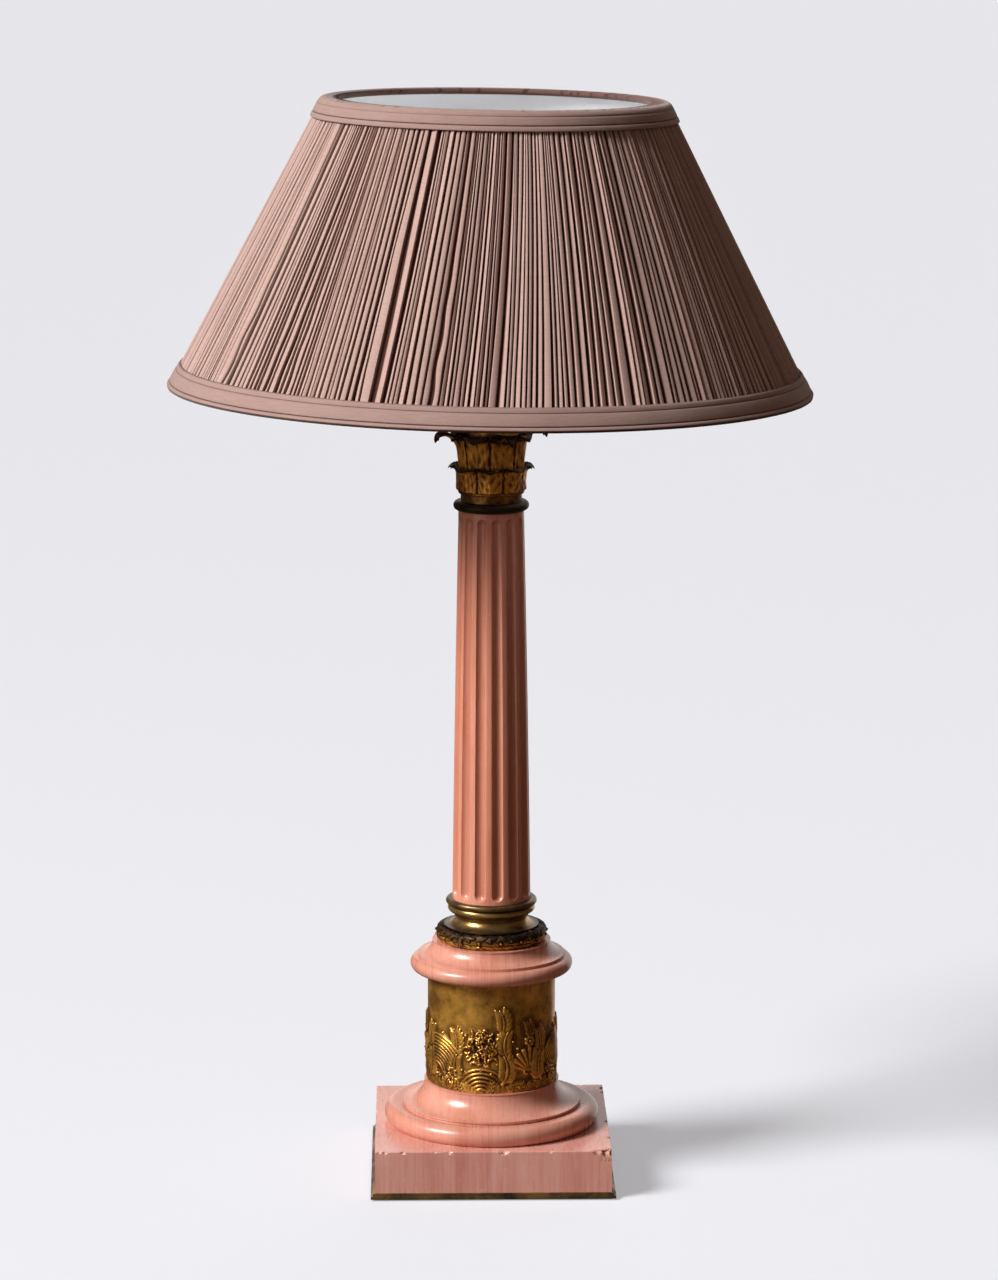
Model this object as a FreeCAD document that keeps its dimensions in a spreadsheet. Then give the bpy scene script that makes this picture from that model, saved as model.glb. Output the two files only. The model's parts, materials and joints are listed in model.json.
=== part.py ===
import FreeCAD, Part
import math
import os
import Sketcher

# Column table lamp: bronze and stone parts threaded on one hollow tube, with a
# switched lampholder on top that carries a pleated shade.
# Millimetres, +Z up, origin at the middle of the felt face that rests on the table.

Vector = FreeCAD.Vector
Rotation = FreeCAD.Rotation
Placement = FreeCAD.Placement
UP = Vector(0, 0, 1)

# Degrees of arc to a chord on turned parts, and the share of a chord that may be left over
CHORD_STEP = 32
FINE_CHORD_STEP = 16
WIRE_CHORD_STEP = 45
LEAF_CHORD_STEP = 64
CHORD_SLACK = 0.1

# Arcs as the tangent of a quarter of their angle: rounds turn left, hollows turn right
QUARTER_ROUND = math.tan(math.pi / 8)
TORUS = 0.97
FOOT_TORUS = 0.781
BEAD = 0.9
SOFT_ROUND = 0.4
DOME = 0.3
SHALLOW_HOLLOW = -0.15
SLACK_HOLLOW = -0.225
WIDE_HOLLOW = -0.36
DEEP_HOLLOW = -0.4

# Millimetres by which a cutting outline passes the metal, and pleats to a flat of the back
CUT_MARGIN = 2
PLEATS_TO_A_FLAT = 3

SIZES = [
    # base plate, felt and plinth
    ("FeltThickness", 1.0),
    ("FeltInset", 2.6),
    ("PlateHeight", 3.3),
    ("PlateProud", 2.7),
    ("PlateStepHeight", 1.4),
    ("PlateStepInset", 1.3),
    ("PlinthSide", 150.0),
    ("PlinthHeight", 27.0),
    ("PlinthBevel", 0.5),
    ("RecessRadius", 20.0),
    ("RecessDepth", 15.0),
    ("AccessMargin", 2.0),
    # hollow tube and its nuts
    ("TubeRadius", 5.0),
    ("TubeWall", 1.4),
    ("TubeClearance", 0.2),
    ("TubeTail", 3.0),
    ("WasherRadius", 14.0),
    ("WasherThickness", 2.0),
    ("NutAcross", 17.0),
    ("NutHeight", 4.5),
    ("TopWasherRadius", 9.0),
    ("TopWasherThickness", 1.2),
    # cable bush in the back of the plinth
    ("BushHeight", 7.5),
    ("BushRadius", 5.0),
    ("BushBore", 3.4),
    ("BushFlange", 1.6),
    ("BushFlangeThickness", 1.5),
    ("BushLength", 12.0),
    ("BushClearance", 0.1),
    # stone moulding under the drum
    ("MouldingFoot", 65.7),
    ("MouldingTorusHeight", 12.1),
    ("MouldingShoulder", 62.7),
    ("MouldingFillet", 57.3),
    ("MouldingQuirk", 0.7),
    ("MouldingFilletHeight", 1.8),
    ("MouldingNeck", 43.4),
    ("MouldingLip", 1.0),
    ("MouldingHeight", 28.1),
    # bronze drum
    ("DrumRadius", 41.0),
    ("DrumWall", 3.0),
    ("DrumHeight", 70.6),
    ("DrumBorder", 1.2),
    ("DrumBorderRelief", 0.5),
    ("SpigotHeight", 2.0),
    ("SpigotClearance", 0.2),
    # stone cornice over the drum
    ("CorniceRadius", 52.25),
    ("CorniceUnderside", 43.8),
    ("CorniceUndersideHeight", 1.5),
    ("CorniceTorusHeight", 9.3),
    ("CorniceQuirk", 0.6),
    ("CorniceFilletHeight", 1.9),
    ("CorniceLedge", 38.0),
    ("CorniceLip", 0.9),
    ("CorniceHeight", 21.3),
    # laurel wreath
    ("WreathRadius", 31.3),
    ("WreathThick", 5.2),
    ("WreathThin", 4.2),
    ("WreathLeaves", 28),
    ("WreathSeat", 0.4),
    # bronze base of the column
    ("ScotiaFlare", 30.4),
    ("ScotiaRim", 0.7),
    ("ScotiaNeck", 23.1),
    ("ScotiaHeight", 4.2),
    ("NeckBandHeight", 3.9),
    ("RingRadius", 28.2),
    ("RingHeight", 4.9),
    ("CupRadius", 29.4),
    ("CupBeadHeight", 3.9),
    ("CupDepth", 5.4),
    ("CupClearance", 0.2),
    # fluted column
    ("ColumnFoot", 25.2),
    ("ColumnHead", 20.8),
    ("ColumnHeight", 257.0),
    ("ColumnSwell", 0.35),
    ("ColumnBore", 7.0),
    ("FluteCount", 14),
    ("FluteReach", 18.0),
    ("FluteDepth", 2.5),
    ("FluteStart", 11.5),
    ("FluteEnd", 6.8),
    ("FluteTurn", -4.8),
    # ring between the column and the capital
    ("AstragalRadius", 24.1),
    ("AstragalHeight", 6.0),
    # capital
    ("CapitalTurn", 19.5),
    ("NeckingRadius", 19.4),
    ("NeckingHeight", 4.6),
    ("BeadRadius", 21.1),
    ("BeadHeight", 2.3),
    ("BellRadius", 19.1),
    ("BellHead", 20.6),
    ("BellHeight", 39.0),
    ("BellWall", 4.0),
    ("LeafCount", 8),
    ("LeafThickness", 1.2),
    ("LeafClearance", 0.1),
    ("LowerLeafHeight", 16.0),
    ("LowerLeafTip", 26.1),
    ("UpperLeafStart", 7.0),
    ("UpperLeafHeight", 34.0),
    ("UpperLeafTip", 28.4),
    ("LeafDroop", 1.6),
    ("LeafGap", 1.1),
    ("VoluteReach", 36.6),
    ("VoluteRadius", 3.5),
    ("VoluteWidth", 6.0),
    ("VoluteStem", 2.4),
    ("VoluteEye", 1.3),
    ("VoluteEyeRelief", 0.6),
    ("AbacusReach", 38.5),
    ("AbacusHorn", 4.2),
    ("AbacusHeight", 4.2),
    ("AbacusStep", 1.8),
    ("AbacusInset", 1.3),
    # turned cap over the capital
    ("CapFoot", 14.0),
    ("CapHead", 8.5),
    ("CapHeight", 7.0),
    ("CapFootHeight", 1.5),
    # switched lampholder
    ("HolderGap", 0.5),
    ("TubeEngagement", 8.5),
    ("HolderBossRadius", 7.8),
    ("HolderBossHeight", 7.0),
    ("HolderRadius", 17.6),
    ("HolderWall", 1.2),
    ("HolderDomeHeight", 8.0),
    ("HolderCapHeight", 24.0),
    ("SkirtRadius", 19.5),
    ("SkirtHeight", 39.0),
    ("SkirtLip", 1.4),
    ("InsulatorRadius", 15.6),
    ("InsulatorFoot", 11.0),
    ("InsulatorHeight", 18.5),
    ("InsulatorBore", 4.0),
    ("InsulatorRim", 2.0),
    ("ShellInner", 13.3),
    ("ShellWall", 0.7),
    ("ShellHeight", 23.0),
    ("ContactRadius", 4.0),
    ("ContactHeight", 2.4),
    ("GrubRadius", 1.5),
    ("GrubHeight", 3.5),
    ("TerminalRadius", 1.6),
    ("TerminalHeight", 2.0),
    ("TerminalInset", 8.4),
    # switch key
    ("SwitchHeight", 17.5),
    ("SwitchBushRadius", 4.4),
    ("SwitchBushLength", 6.0),
    ("SwitchBushSeat", 1.0),
    ("KeyStemRadius", 2.0),
    ("KeyStemClearance", 0.05),
    ("KeyStemTail", 2.0),
    ("KeyGap", 0.4),
    ("KeyCollarRadius", 3.4),
    ("KeyCollarLength", 3.0),
    ("KeyPaddleLength", 11.0),
    ("KeyPaddleWidth", 15.0),
    ("KeyPaddleThickness", 2.6),
    # rings on the lampholder that clamp the shade
    ("FlangeRadius", 27.0),
    ("FlangeThickness", 3.0),
    ("FlangeHeight", 39.8),
    ("RingClearance", 0.06),
    ("ClampRadius", 26.0),
    ("ClampHeight", 7.0),
    ("ClampNotches", 24),
    ("ClampNotchRadius", 0.9),
    # shade
    ("ShadeLean", 1.02),
    ("ShadeGap", 0.3),
    ("FitterBore", 20.8),
    ("FitterRadius", 31.0),
    ("FitterThickness", 1.8),
    ("FitterArms", 3),
    ("ArmRadius", 1.6),
    ("ArmRun", 12.0),
    ("ShadeDrop", 37.05),
    ("ShadeFoot", 202.8),
    ("ShadeHead", 108.5),
    ("ShadeHeight", 181.6),
    ("WireRadius", 1.6),
    ("LiningThickness", 0.8),
    ("ClothGap", 0.3),
    ("PleatCount", 180),
    ("PleatDepth", 2.7),
    ("PleatBacking", 0.7),
    ("TrimThickness", 1.1),
    ("TrimHeight", 14.7),
    ("TrimTurn", 3.8),
    # bulb
    ("BulbRadius", 30.0),
    ("BulbCapRadius", 13.1),
    ("BulbCapHeight", 25.0),
    ("BulbCapWall", 1.0),
    ("BulbSeatDepth", 2.0),
    ("BulbNeck", 14.6),
    ("BulbHeight", 104.0),
    ("BulbTip", 1.0),
    ("BulbCheekRadius", 28.2),
    ("BulbCheekDrop", 10.2),
    ("BulbContactRadius", 4.5),
    ("BulbContactHeight", 2.0),
    ("BulbInsulatorHeight", 3.0),
    ("BulbInsulatorInset", 2.0),
]

# Heights of the seats in the stack, and sizes that several parts share.
LEVELS = [
    ("PlateSide", "Sizes.PlinthSide + 2 * Sizes.PlateProud"),
    ("FeltSide", "PlateSide - 2 * Sizes.FeltInset"),
    ("Bore", "Sizes.TubeRadius + Sizes.TubeClearance"),
    ("AccessRadius", "Sizes.RecessRadius + Sizes.AccessMargin"),
    ("PlinthSeat", "Sizes.FeltThickness + Sizes.PlateHeight"),
    ("RecessTop", "PlinthSeat + Sizes.RecessDepth"),
    ("WasherSeat", "RecessTop - Sizes.WasherThickness"),
    ("NutSeat", "WasherSeat - Sizes.NutHeight"),
    ("TubeFoot", "NutSeat - Sizes.TubeTail"),
    ("MouldingSeat", "PlinthSeat + Sizes.PlinthHeight"),
    ("DrumSeat", "MouldingSeat + Sizes.MouldingHeight"),
    ("SpigotRadius", "Sizes.DrumRadius - Sizes.DrumWall - Sizes.SpigotClearance"),
    ("CorniceSeat", "DrumSeat + Sizes.DrumHeight"),
    ("WreathSeat", "CorniceSeat + Sizes.CorniceHeight"),
    ("WreathTop", "2 * Sizes.WreathThick - Sizes.WreathSeat"),
    ("CupFloor", "WreathTop + Sizes.ScotiaRim + Sizes.ScotiaHeight + Sizes.NeckBandHeight"
     " + Sizes.RingHeight + Sizes.CupBeadHeight - Sizes.CupDepth"),
    ("ColumnSeat", "WreathSeat + CupFloor"),
    ("AstragalSeat", "ColumnSeat + Sizes.ColumnHeight"),
    ("CapitalSeat", "AstragalSeat + Sizes.AstragalHeight"),
    ("LeafSeat", "CapitalSeat + Sizes.NeckingHeight + Sizes.BeadHeight"),
    ("AbacusSeat", "LeafSeat + Sizes.BellHeight"),
    ("CapSeat", "AbacusSeat + Sizes.AbacusHeight"),
    ("TopWasherSeat", "CapSeat + Sizes.CapHeight"),
    ("TopNutSeat", "TopWasherSeat + Sizes.TopWasherThickness"),
    ("HolderSeat", "TopNutSeat + Sizes.NutHeight + Sizes.HolderGap"),
    ("TubeLength", "HolderSeat + Sizes.TubeEngagement - TubeFoot"),
    ("SkirtSeat", "HolderSeat + Sizes.HolderCapHeight"),
    ("SwitchLevel", "HolderSeat + Sizes.SwitchHeight"),
    ("SwitchFace", "Sizes.HolderRadius - Sizes.SwitchBushSeat + Sizes.SwitchBushLength"),
    ("InsulatorSeat", "HolderSeat + Sizes.InsulatorFoot"),
    ("InsulatorTop", "InsulatorSeat + Sizes.InsulatorHeight"),
    ("BulbSeat", "InsulatorTop + Sizes.ContactHeight + Sizes.ClothGap"),
    ("FlangeSeat", "HolderSeat + Sizes.FlangeHeight"),
    ("LeanRise", "Sizes.FitterRadius * sin(Sizes.ShadeLean * 1 deg)"),
    ("FitterPlane", "FlangeSeat + Sizes.FlangeThickness + Sizes.ShadeGap + LeanRise"
     " + Sizes.FitterThickness / 2"),
    ("ClampSeat", "FitterPlane + Sizes.FitterThickness / 2 + LeanRise + Sizes.ShadeGap"),
    ("ShadeSlope", "(Sizes.ShadeFoot - Sizes.ShadeHead) / Sizes.ShadeHeight"),
    ("ShadeBottom", "-Sizes.ShadeDrop"),
    ("ShadeTop", "Sizes.ShadeHeight - Sizes.ShadeDrop"),
    ("RidgeInset", "Sizes.TrimThickness + Sizes.ClothGap"),
    ("LiningInset", "RidgeInset + Sizes.PleatDepth + Sizes.PleatBacking + Sizes.ClothGap"),
    ("WireReach", "Sizes.WireRadius * sqrt(1 + ShadeSlope ^ 2)"),
    ("WireInset", "LiningInset + Sizes.LiningThickness + Sizes.ClothGap + WireReach"),
    ("TurnInset", "WireInset + WireReach + Sizes.ClothGap"),
    ("ClothBottom", "ShadeBottom + Sizes.TrimThickness + Sizes.ClothGap"),
    ("ClothTop", "ShadeTop - Sizes.TrimThickness - Sizes.ClothGap"),
    ("WireBottom", "ClothBottom + Sizes.WireRadius"),
    ("WireTop", "ClothTop - Sizes.WireRadius"),
]

doc = FreeCAD.newDocument("ColumnLamp")
sizes = doc.addObject("Spreadsheet::Sheet", "Sizes")
for row, (name, value) in enumerate(SIZES, 1):
    sizes.set("A%d" % row, name)
    sizes.set("B%d" % row, str(value))
    sizes.setAlias("B%d" % row, name)
levels = doc.addObject("Spreadsheet::Sheet", "Levels")
for row, (name, formula) in enumerate(LEVELS, 1):
    levels.set("A%d" % row, name)
    levels.setAlias("B%d" % row, name)
for row, (name, formula) in enumerate(LEVELS, 1):
    levels.set("B%d" % row, "=" + formula)
points = doc.addObject("Spreadsheet::Sheet", "Points")
doc.recompute()

NODES = []
drawn_rows = []


def size(name):
    """The number in a named cell of Sizes or Levels."""
    sheet = sizes if name in dict(SIZES) else levels
    return float(sheet.get(name))


def cell(column, row, formula):
    """Put a formula in the sheet of points and give the cell's address."""
    address = "%s%d" % (column, row)
    points.set(address, "=" + formula)
    return address


def keep(shape_object, label):
    """Name a finished sub-part and put it on the list of nodes."""
    shape_object.Label = label
    NODES.append(shape_object)
    return shape_object


def body(label):
    return keep(doc.addObject("PartDesign::Body", "Body_" + label), label)


def lift(shape_object, level):
    """Stand a sub-part on one of the named levels."""
    shape_object.setExpression("Placement.Base.z", "Levels." + level)


def turn(shape_object, angle):
    """Turn a sub-part about the lamp's axis by a formula in degrees."""
    shape_object.Placement = Placement(Vector(0, 0, 0), Rotation(UP, 1))
    shape_object.setExpression("Placement.Rotation.Angle", "(%s) * 1 deg" % angle)


def lean(shape_object):
    """Seat a sub-part of the shade on the lampholder, leaning with the shade."""
    shape_object.Placement = Placement(Vector(0, 0, 0), Rotation(Vector(0, 1, 0), 1))
    shape_object.setExpression("Placement.Rotation.Angle", "Sizes.ShadeLean * 1 deg")
    lift(shape_object, "FitterPlane")


def sketch_on(owner, plane, offset="", name="Sketch"):
    """A sketch on one of the body's own planes, moved off it by a formula."""
    sketch = owner.newObject("Sketcher::SketchObject", name)
    origin = [feature for feature in owner.Origin.OriginFeatures if feature.Role == plane]
    sketch.AttachmentSupport = (origin[0], [""])
    sketch.MapMode = "FlatFace"
    if offset:
        sketch.setExpression("AttachmentOffset.Base.z", offset)
    return sketch


def outline(sketch, corners):
    """Draw a closed ring of lines and arcs whose corners are formulas.

    A corner is (x, y) or (x, y, bulge). The bulge is the tangent of a quarter of the
    angle of the arc that runs from this corner to the next, positive where the arc
    turns to the left.
    """
    first = len(drawn_rows) + 1
    count = len(corners)
    drawn_rows.extend(corners)
    for place, corner in enumerate(corners):
        cell("A", first + place, corner[0])
        cell("B", first + place, corner[1])
    for place, corner in enumerate(corners):
        if len(corner) > 2:
            after = first + (place + 1) % count
            here = first + place
            chord = "sqrt((A%d - A%d) ^ 2 + (B%d - B%d) ^ 2)" % (after, here, after, here)
            widen = (1 + corner[2] ** 2) / (4 * abs(corner[2]))
            cell("C", here, "%s * %.9f" % (chord, widen))
    points.recompute()
    ring = []
    for place in range(count):
        row = first + place
        ring.append(Vector(float(points.get("A%d" % row)), float(points.get("B%d" % row)), 0))
    constraints = []
    formulas = []
    ends = []
    for place in range(count):
        start = ring[place]
        end = ring[(place + 1) % count]
        bulge = corners[place][2] if len(corners[place]) > 2 else 0
        if bulge:
            chord = end - start
            across = Vector(chord.y, -chord.x, 0)
            middle = (start + end) * 0.5 + across * (bulge * 0.5)
            circle = Part.Circle(start, middle, end)
            spokes = [math.atan2(p.y - circle.Center.y, p.x - circle.Center.x) for p in (start, end)]
            if bulge < 0:
                spokes.reverse()
            if spokes[1] < spokes[0]:
                spokes[1] += 2 * math.pi
            flat = Part.Circle(circle.Center, UP, circle.Radius)
            edge = sketch.addGeometry(Part.ArcOfCircle(flat, spokes[0], spokes[1]), False)
            constraints.append(Sketcher.Constraint("Radius", edge, circle.Radius))
            formulas.append("Points.C%d" % (first + place))
            ends.append((edge, 1, 2) if bulge > 0 else (edge, 2, 1))
        else:
            edge = sketch.addGeometry(Part.LineSegment(start, end), False)
            ends.append((edge, 1, 2))
    for place in range(count):
        edge, near, far = ends[place]
        row = first + place
        constraints.append(Sketcher.Constraint("DistanceX", -1, 1, edge, near, ring[place].x))
        formulas.append("Points.A%d" % row)
        constraints.append(Sketcher.Constraint("DistanceY", -1, 1, edge, near, ring[place].y))
        formulas.append("Points.B%d" % row)
    for place in range(count):
        edge, near, far = ends[place]
        after, after_near, after_far = ends[(place + 1) % count]
        constraints.append(Sketcher.Constraint("Coincident", edge, far, after, after_near))
    numbers = sketch.addConstraint(constraints)
    for number, formula in zip(numbers, formulas):
        sketch.setExpression("Constraints[%d]" % number, formula)
    return sketch


def open_path(sketch, corners):
    """Draw a chain of straight runs whose corners are formulas."""
    first = len(drawn_rows) + 1
    drawn_rows.extend(corners)
    for place, corner in enumerate(corners):
        cell("A", first + place, corner[0])
        cell("B", first + place, corner[1])
    points.recompute()
    chain = []
    for row in range(first, first + len(corners)):
        chain.append(Vector(float(points.get("A%d" % row)), float(points.get("B%d" % row)), 0))
    edges = [sketch.addGeometry(Part.LineSegment(chain[place], chain[place + 1]), False)
             for place in range(len(corners) - 1)]
    constraints = []
    formulas = []
    for place in range(len(corners)):
        edge, end = (edges[place], 1) if place < len(edges) else (edges[-1], 2)
        constraints.append(Sketcher.Constraint("DistanceX", -1, 1, edge, end, chain[place].x))
        constraints.append(Sketcher.Constraint("DistanceY", -1, 1, edge, end, chain[place].y))
        formulas += ["Points.A%d" % (first + place), "Points.B%d" % (first + place)]
    for place in range(len(edges) - 1):
        constraints.append(Sketcher.Constraint("Coincident", edges[place], 2, edges[place + 1], 1))
    numbers = sketch.addConstraint(constraints)
    for number, formula in zip(numbers, formulas):
        sketch.setExpression("Constraints[%d]" % number, formula)
    return sketch


def disc(sketch, radius, x="0", y="0"):
    """Draw a circle whose centre and radius are formulas."""
    row = len(drawn_rows) + 1
    drawn_rows.append((x, y))
    cell("A", row, x)
    cell("B", row, y)
    cell("C", row, radius)
    points.recompute()
    centre = Vector(float(points.get("A%d" % row)), float(points.get("B%d" % row)), 0)
    reach = float(points.get("C%d" % row))
    edge = sketch.addGeometry(Part.Circle(centre, UP, reach), False)
    numbers = sketch.addConstraint([
        Sketcher.Constraint("DistanceX", -1, 1, edge, 3, centre.x),
        Sketcher.Constraint("DistanceY", -1, 1, edge, 3, centre.y),
        Sketcher.Constraint("Radius", edge, reach),
    ])
    for number, column in zip(numbers, "ABC"):
        sketch.setExpression("Constraints[%d]" % number, "Points.%s%d" % (column, row))
    return sketch


def square(sketch, side):
    """Draw a square about the sketch's origin."""
    half = "(%s) / 2" % side
    return outline(sketch, [
        ("-" + half, "-" + half), (half, "-" + half), (half, half), ("-" + half, half)])


def chorded(corners, step):
    """Divide the arcs of an outline into equal chords of at most step degrees.

    A point of an arc lies at a fixed share along the chord of the whole arc and at a fixed
    share of it to the side, so the new corners are formulas of the old ones.
    """
    divided = []
    for place, corner in enumerate(corners):
        divided.append(corner[:2])
        if len(corner) < 3:
            continue
        after = corners[(place + 1) % len(corners)]
        half = 2 * math.atan(corner[2])
        count = math.ceil(math.degrees(abs(2 * half)) / step - CHORD_SLACK)
        for number in range(1, count):
            angle = half * (2 * number / count - 1)
            along = 0.5 + math.sin(angle) / (2 * math.sin(half))
            aside = (math.cos(angle) - math.cos(half)) / (2 * math.sin(half))
            run = "((%s) - (%s))" % (after[0], corner[0])
            rise = "((%s) - (%s))" % (after[1], corner[1])
            divided.append((
                "%s + %.9f * %s + %.9f * %s" % (corner[0], along, run, aside, rise),
                "%s + %.9f * %s - %.9f * %s" % (corner[1], along, rise, aside, run)))
    return divided


def turned(owner, corners, name="Turned", cut=False, step=CHORD_STEP):
    """Turn an outline of radius and height about the body's Z axis."""
    sketch = sketch_on(owner, "XZ_Plane", name="Profile_" + name)
    outline(sketch, chorded(corners, step))
    kind = "PartDesign::Groove" if cut else "PartDesign::Revolution"
    feature = owner.newObject(kind, name)
    feature.Profile = sketch
    feature.ReferenceAxis = (sketch, ["V_Axis"])
    feature.Angle = 360
    return feature


def padded(owner, sketch, length, name="Pad", both_ways=False):
    feature = owner.newObject("PartDesign::Pad", name)
    feature.Profile = sketch
    feature.setExpression("Length", length)
    if both_ways:
        feature.SideType = "Symmetric"
    return feature


def pocketed(owner, sketch, length, name="Pocket", reverse=False):
    feature = owner.newObject("PartDesign::Pocket", name)
    feature.Profile = sketch
    feature.setExpression("Length", length)
    feature.Reversed = reverse
    return feature


def patterned(owner, originals, count, name="Pattern"):
    """Repeat features round the body's Z axis."""
    feature = owner.newObject("PartDesign::PolarPattern", name)
    feature.Originals = originals
    axis = [item for item in owner.Origin.OriginFeatures if item.Role == "Z_Axis"]
    feature.Axis = (axis[0], [""])
    feature.Angle = 360
    feature.setExpression("Occurrences", count)
    owner.Tip = feature
    return feature


def ring_profile(inner, outer, height, bottom="0"):
    """The four corners of a plain ring."""
    top = "%s + %s" % (bottom, height)
    return [(inner, bottom), (outer, bottom), (outer, top), (inner, top)]


# Felt under the base plate
felt = body("base_felt")
square(sketch_on(felt, "XY_Plane"), "Levels.FeltSide")
padded(felt, felt.Group[-1], "Sizes.FeltThickness")

# Bronze plate with a stepped edge and a hole that gives access to the nut
plate = body("base_plate")
lift(plate, "PlinthSeat")
lower = square(sketch_on(plate, "XY_Plane", "-Sizes.PlateHeight", "Foot"), "Levels.PlateSide")
padded(plate, lower, "Sizes.PlateHeight - Sizes.PlateStepHeight", "FootPad")
upper = square(sketch_on(plate, "XY_Plane", "-Sizes.PlateStepHeight", "Step"),
               "Levels.PlateSide - 2 * Sizes.PlateStepInset")
padded(plate, upper, "Sizes.PlateStepHeight", "StepPad")
pocketed(plate, disc(sketch_on(plate, "XY_Plane", name="Access"), "Levels.AccessRadius"),
         "Sizes.PlateHeight", "AccessHole")

# Stone plinth with the nut's recess below and the cable's way out at the back
plinth = body("plinth")
lift(plinth, "PlinthSeat")
padded(plinth, square(sketch_on(plinth, "XY_Plane", name="Block"), "Sizes.PlinthSide"),
       "Sizes.PlinthHeight", "BlockPad")
doc.recompute()
bevel = plinth.newObject("PartDesign::Chamfer", "Bevel")
bevel.Base = (plinth.Group[-2], [
    "Edge%d" % (number + 1) for number, edge in enumerate(plinth.Group[-2].Shape.Edges)
    if edge.BoundBox.ZMax > size("PlinthHeight") / 2])
bevel.setExpression("Size", "Sizes.PlinthBevel")
pocketed(plinth, disc(sketch_on(plinth, "XY_Plane", name="Recess"), "Sizes.RecessRadius"),
         "Sizes.RecessDepth", "RecessPocket", reverse=True)
pocketed(plinth, disc(sketch_on(plinth, "XY_Plane", name="Bore"), "Levels.Bore"),
         "Sizes.PlinthHeight", "BorePocket", reverse=True)
pocketed(plinth, disc(sketch_on(plinth, "XZ_Plane", name="CableHole"),
                      "Sizes.BushRadius + Sizes.BushClearance", "0", "Sizes.BushHeight"),
         "Sizes.PlinthSide", "CablePocket")

# Bush that leads the cable out of the plinth
bush = body("cable_bush")
turned(bush, [
    ("Sizes.BushBore", "0"),
    ("Sizes.BushRadius", "0"),
    ("Sizes.BushRadius", "Sizes.BushLength"),
    ("Sizes.BushRadius + Sizes.BushFlange", "Sizes.BushLength"),
    ("Sizes.BushRadius + Sizes.BushFlange", "Sizes.BushLength + Sizes.BushFlangeThickness / 2",
     SOFT_ROUND),
    ("Sizes.BushRadius + Sizes.BushFlange / 2", "Sizes.BushLength + Sizes.BushFlangeThickness"),
    ("Sizes.BushBore + Sizes.BushFlange / 4", "Sizes.BushLength + Sizes.BushFlangeThickness"),
    ("Sizes.BushBore", "Sizes.BushLength + Sizes.BushFlangeThickness / 2"),
])
bush.Placement = Placement(Vector(0, 0, 0), Rotation(Vector(1, 0, 0), -90))
bush.setExpression("Placement.Base.y", "Sizes.PlinthSide / 2 - Sizes.BushLength")
bush.setExpression("Placement.Base.z", "Levels.PlinthSeat + Sizes.BushHeight")


def washer(label, radius, thickness, level):
    piece = body(label)
    lift(piece, level)
    turned(piece, ring_profile("Levels.Bore", radius, thickness))


def hex_nut(label, level):
    piece = body(label)
    lift(piece, level)
    across = "Sizes.NutAcross / 2"
    corner = "Sizes.NutAcross / 2 / cos(30 deg)"
    half = "Sizes.NutAcross / 4 / cos(30 deg)"
    hexagon = outline(sketch_on(piece, "XY_Plane", name="Hexagon"), [
        (corner, "0"), (half, across), ("-" + half, across),
        ("-" + corner, "0"), ("-" + half, "-" + across), (half, "-" + across)])
    padded(piece, hexagon, "Sizes.NutHeight")
    pocketed(piece, disc(sketch_on(piece, "XY_Plane", name="Bore"), "Levels.Bore"),
             "Sizes.NutHeight", reverse=True)
    bite = "Sizes.NutAcross / 2 / cos(30 deg) - Sizes.NutAcross / 2"
    turned(piece, [
        (across, "Sizes.NutHeight"),
        (corner, "Sizes.NutHeight - (%s) / 2" % bite),
        ("%s + %d" % (corner, CUT_MARGIN), "Sizes.NutHeight - (%s) / 2" % bite),
        ("%s + %d" % (corner, CUT_MARGIN), "Sizes.NutHeight")], "Crown", cut=True)


# Hollow tube that holds the stack together, with its nuts and washers
tube = body("threaded_tube")
lift(tube, "TubeFoot")
turned(tube, ring_profile("Sizes.TubeRadius - Sizes.TubeWall", "Sizes.TubeRadius", "Levels.TubeLength"))
washer("bottom_washer", "Sizes.WasherRadius", "Sizes.WasherThickness", "WasherSeat")
hex_nut("bottom_nut", "NutSeat")
washer("top_washer", "Sizes.TopWasherRadius", "Sizes.TopWasherThickness", "TopWasherSeat")
hex_nut("top_nut", "TopNutSeat")

# Stone moulding: torus, quirk, fillet and a hollow that rises to the drum
moulding = body("base_moulding")
lift(moulding, "MouldingSeat")
turned(moulding, [
    ("Levels.Bore", "0"),
    ("Sizes.MouldingFoot", "0", FOOT_TORUS),
    ("Sizes.MouldingShoulder", "Sizes.MouldingTorusHeight"),
    ("Sizes.MouldingFillet - Sizes.MouldingQuirk", "Sizes.MouldingTorusHeight - Sizes.MouldingQuirk"),
    ("Sizes.MouldingFillet - Sizes.MouldingQuirk", "Sizes.MouldingTorusHeight"),
    ("Sizes.MouldingFillet", "Sizes.MouldingTorusHeight + Sizes.MouldingQuirk"),
    ("Sizes.MouldingFillet", "Sizes.MouldingTorusHeight + Sizes.MouldingFilletHeight", DEEP_HOLLOW),
    ("Sizes.MouldingNeck - Sizes.MouldingQuirk / 2", "Sizes.MouldingHeight - Sizes.MouldingLip"),
    ("Sizes.MouldingNeck", "Sizes.MouldingHeight - Sizes.MouldingLip"),
    ("Sizes.MouldingNeck", "Sizes.MouldingHeight"),
    ("Levels.SpigotRadius", "Sizes.MouldingHeight"),
    ("Levels.SpigotRadius", "Sizes.MouldingHeight + Sizes.SpigotHeight"),
    ("Levels.Bore", "Sizes.MouldingHeight + Sizes.SpigotHeight"),
])

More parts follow.
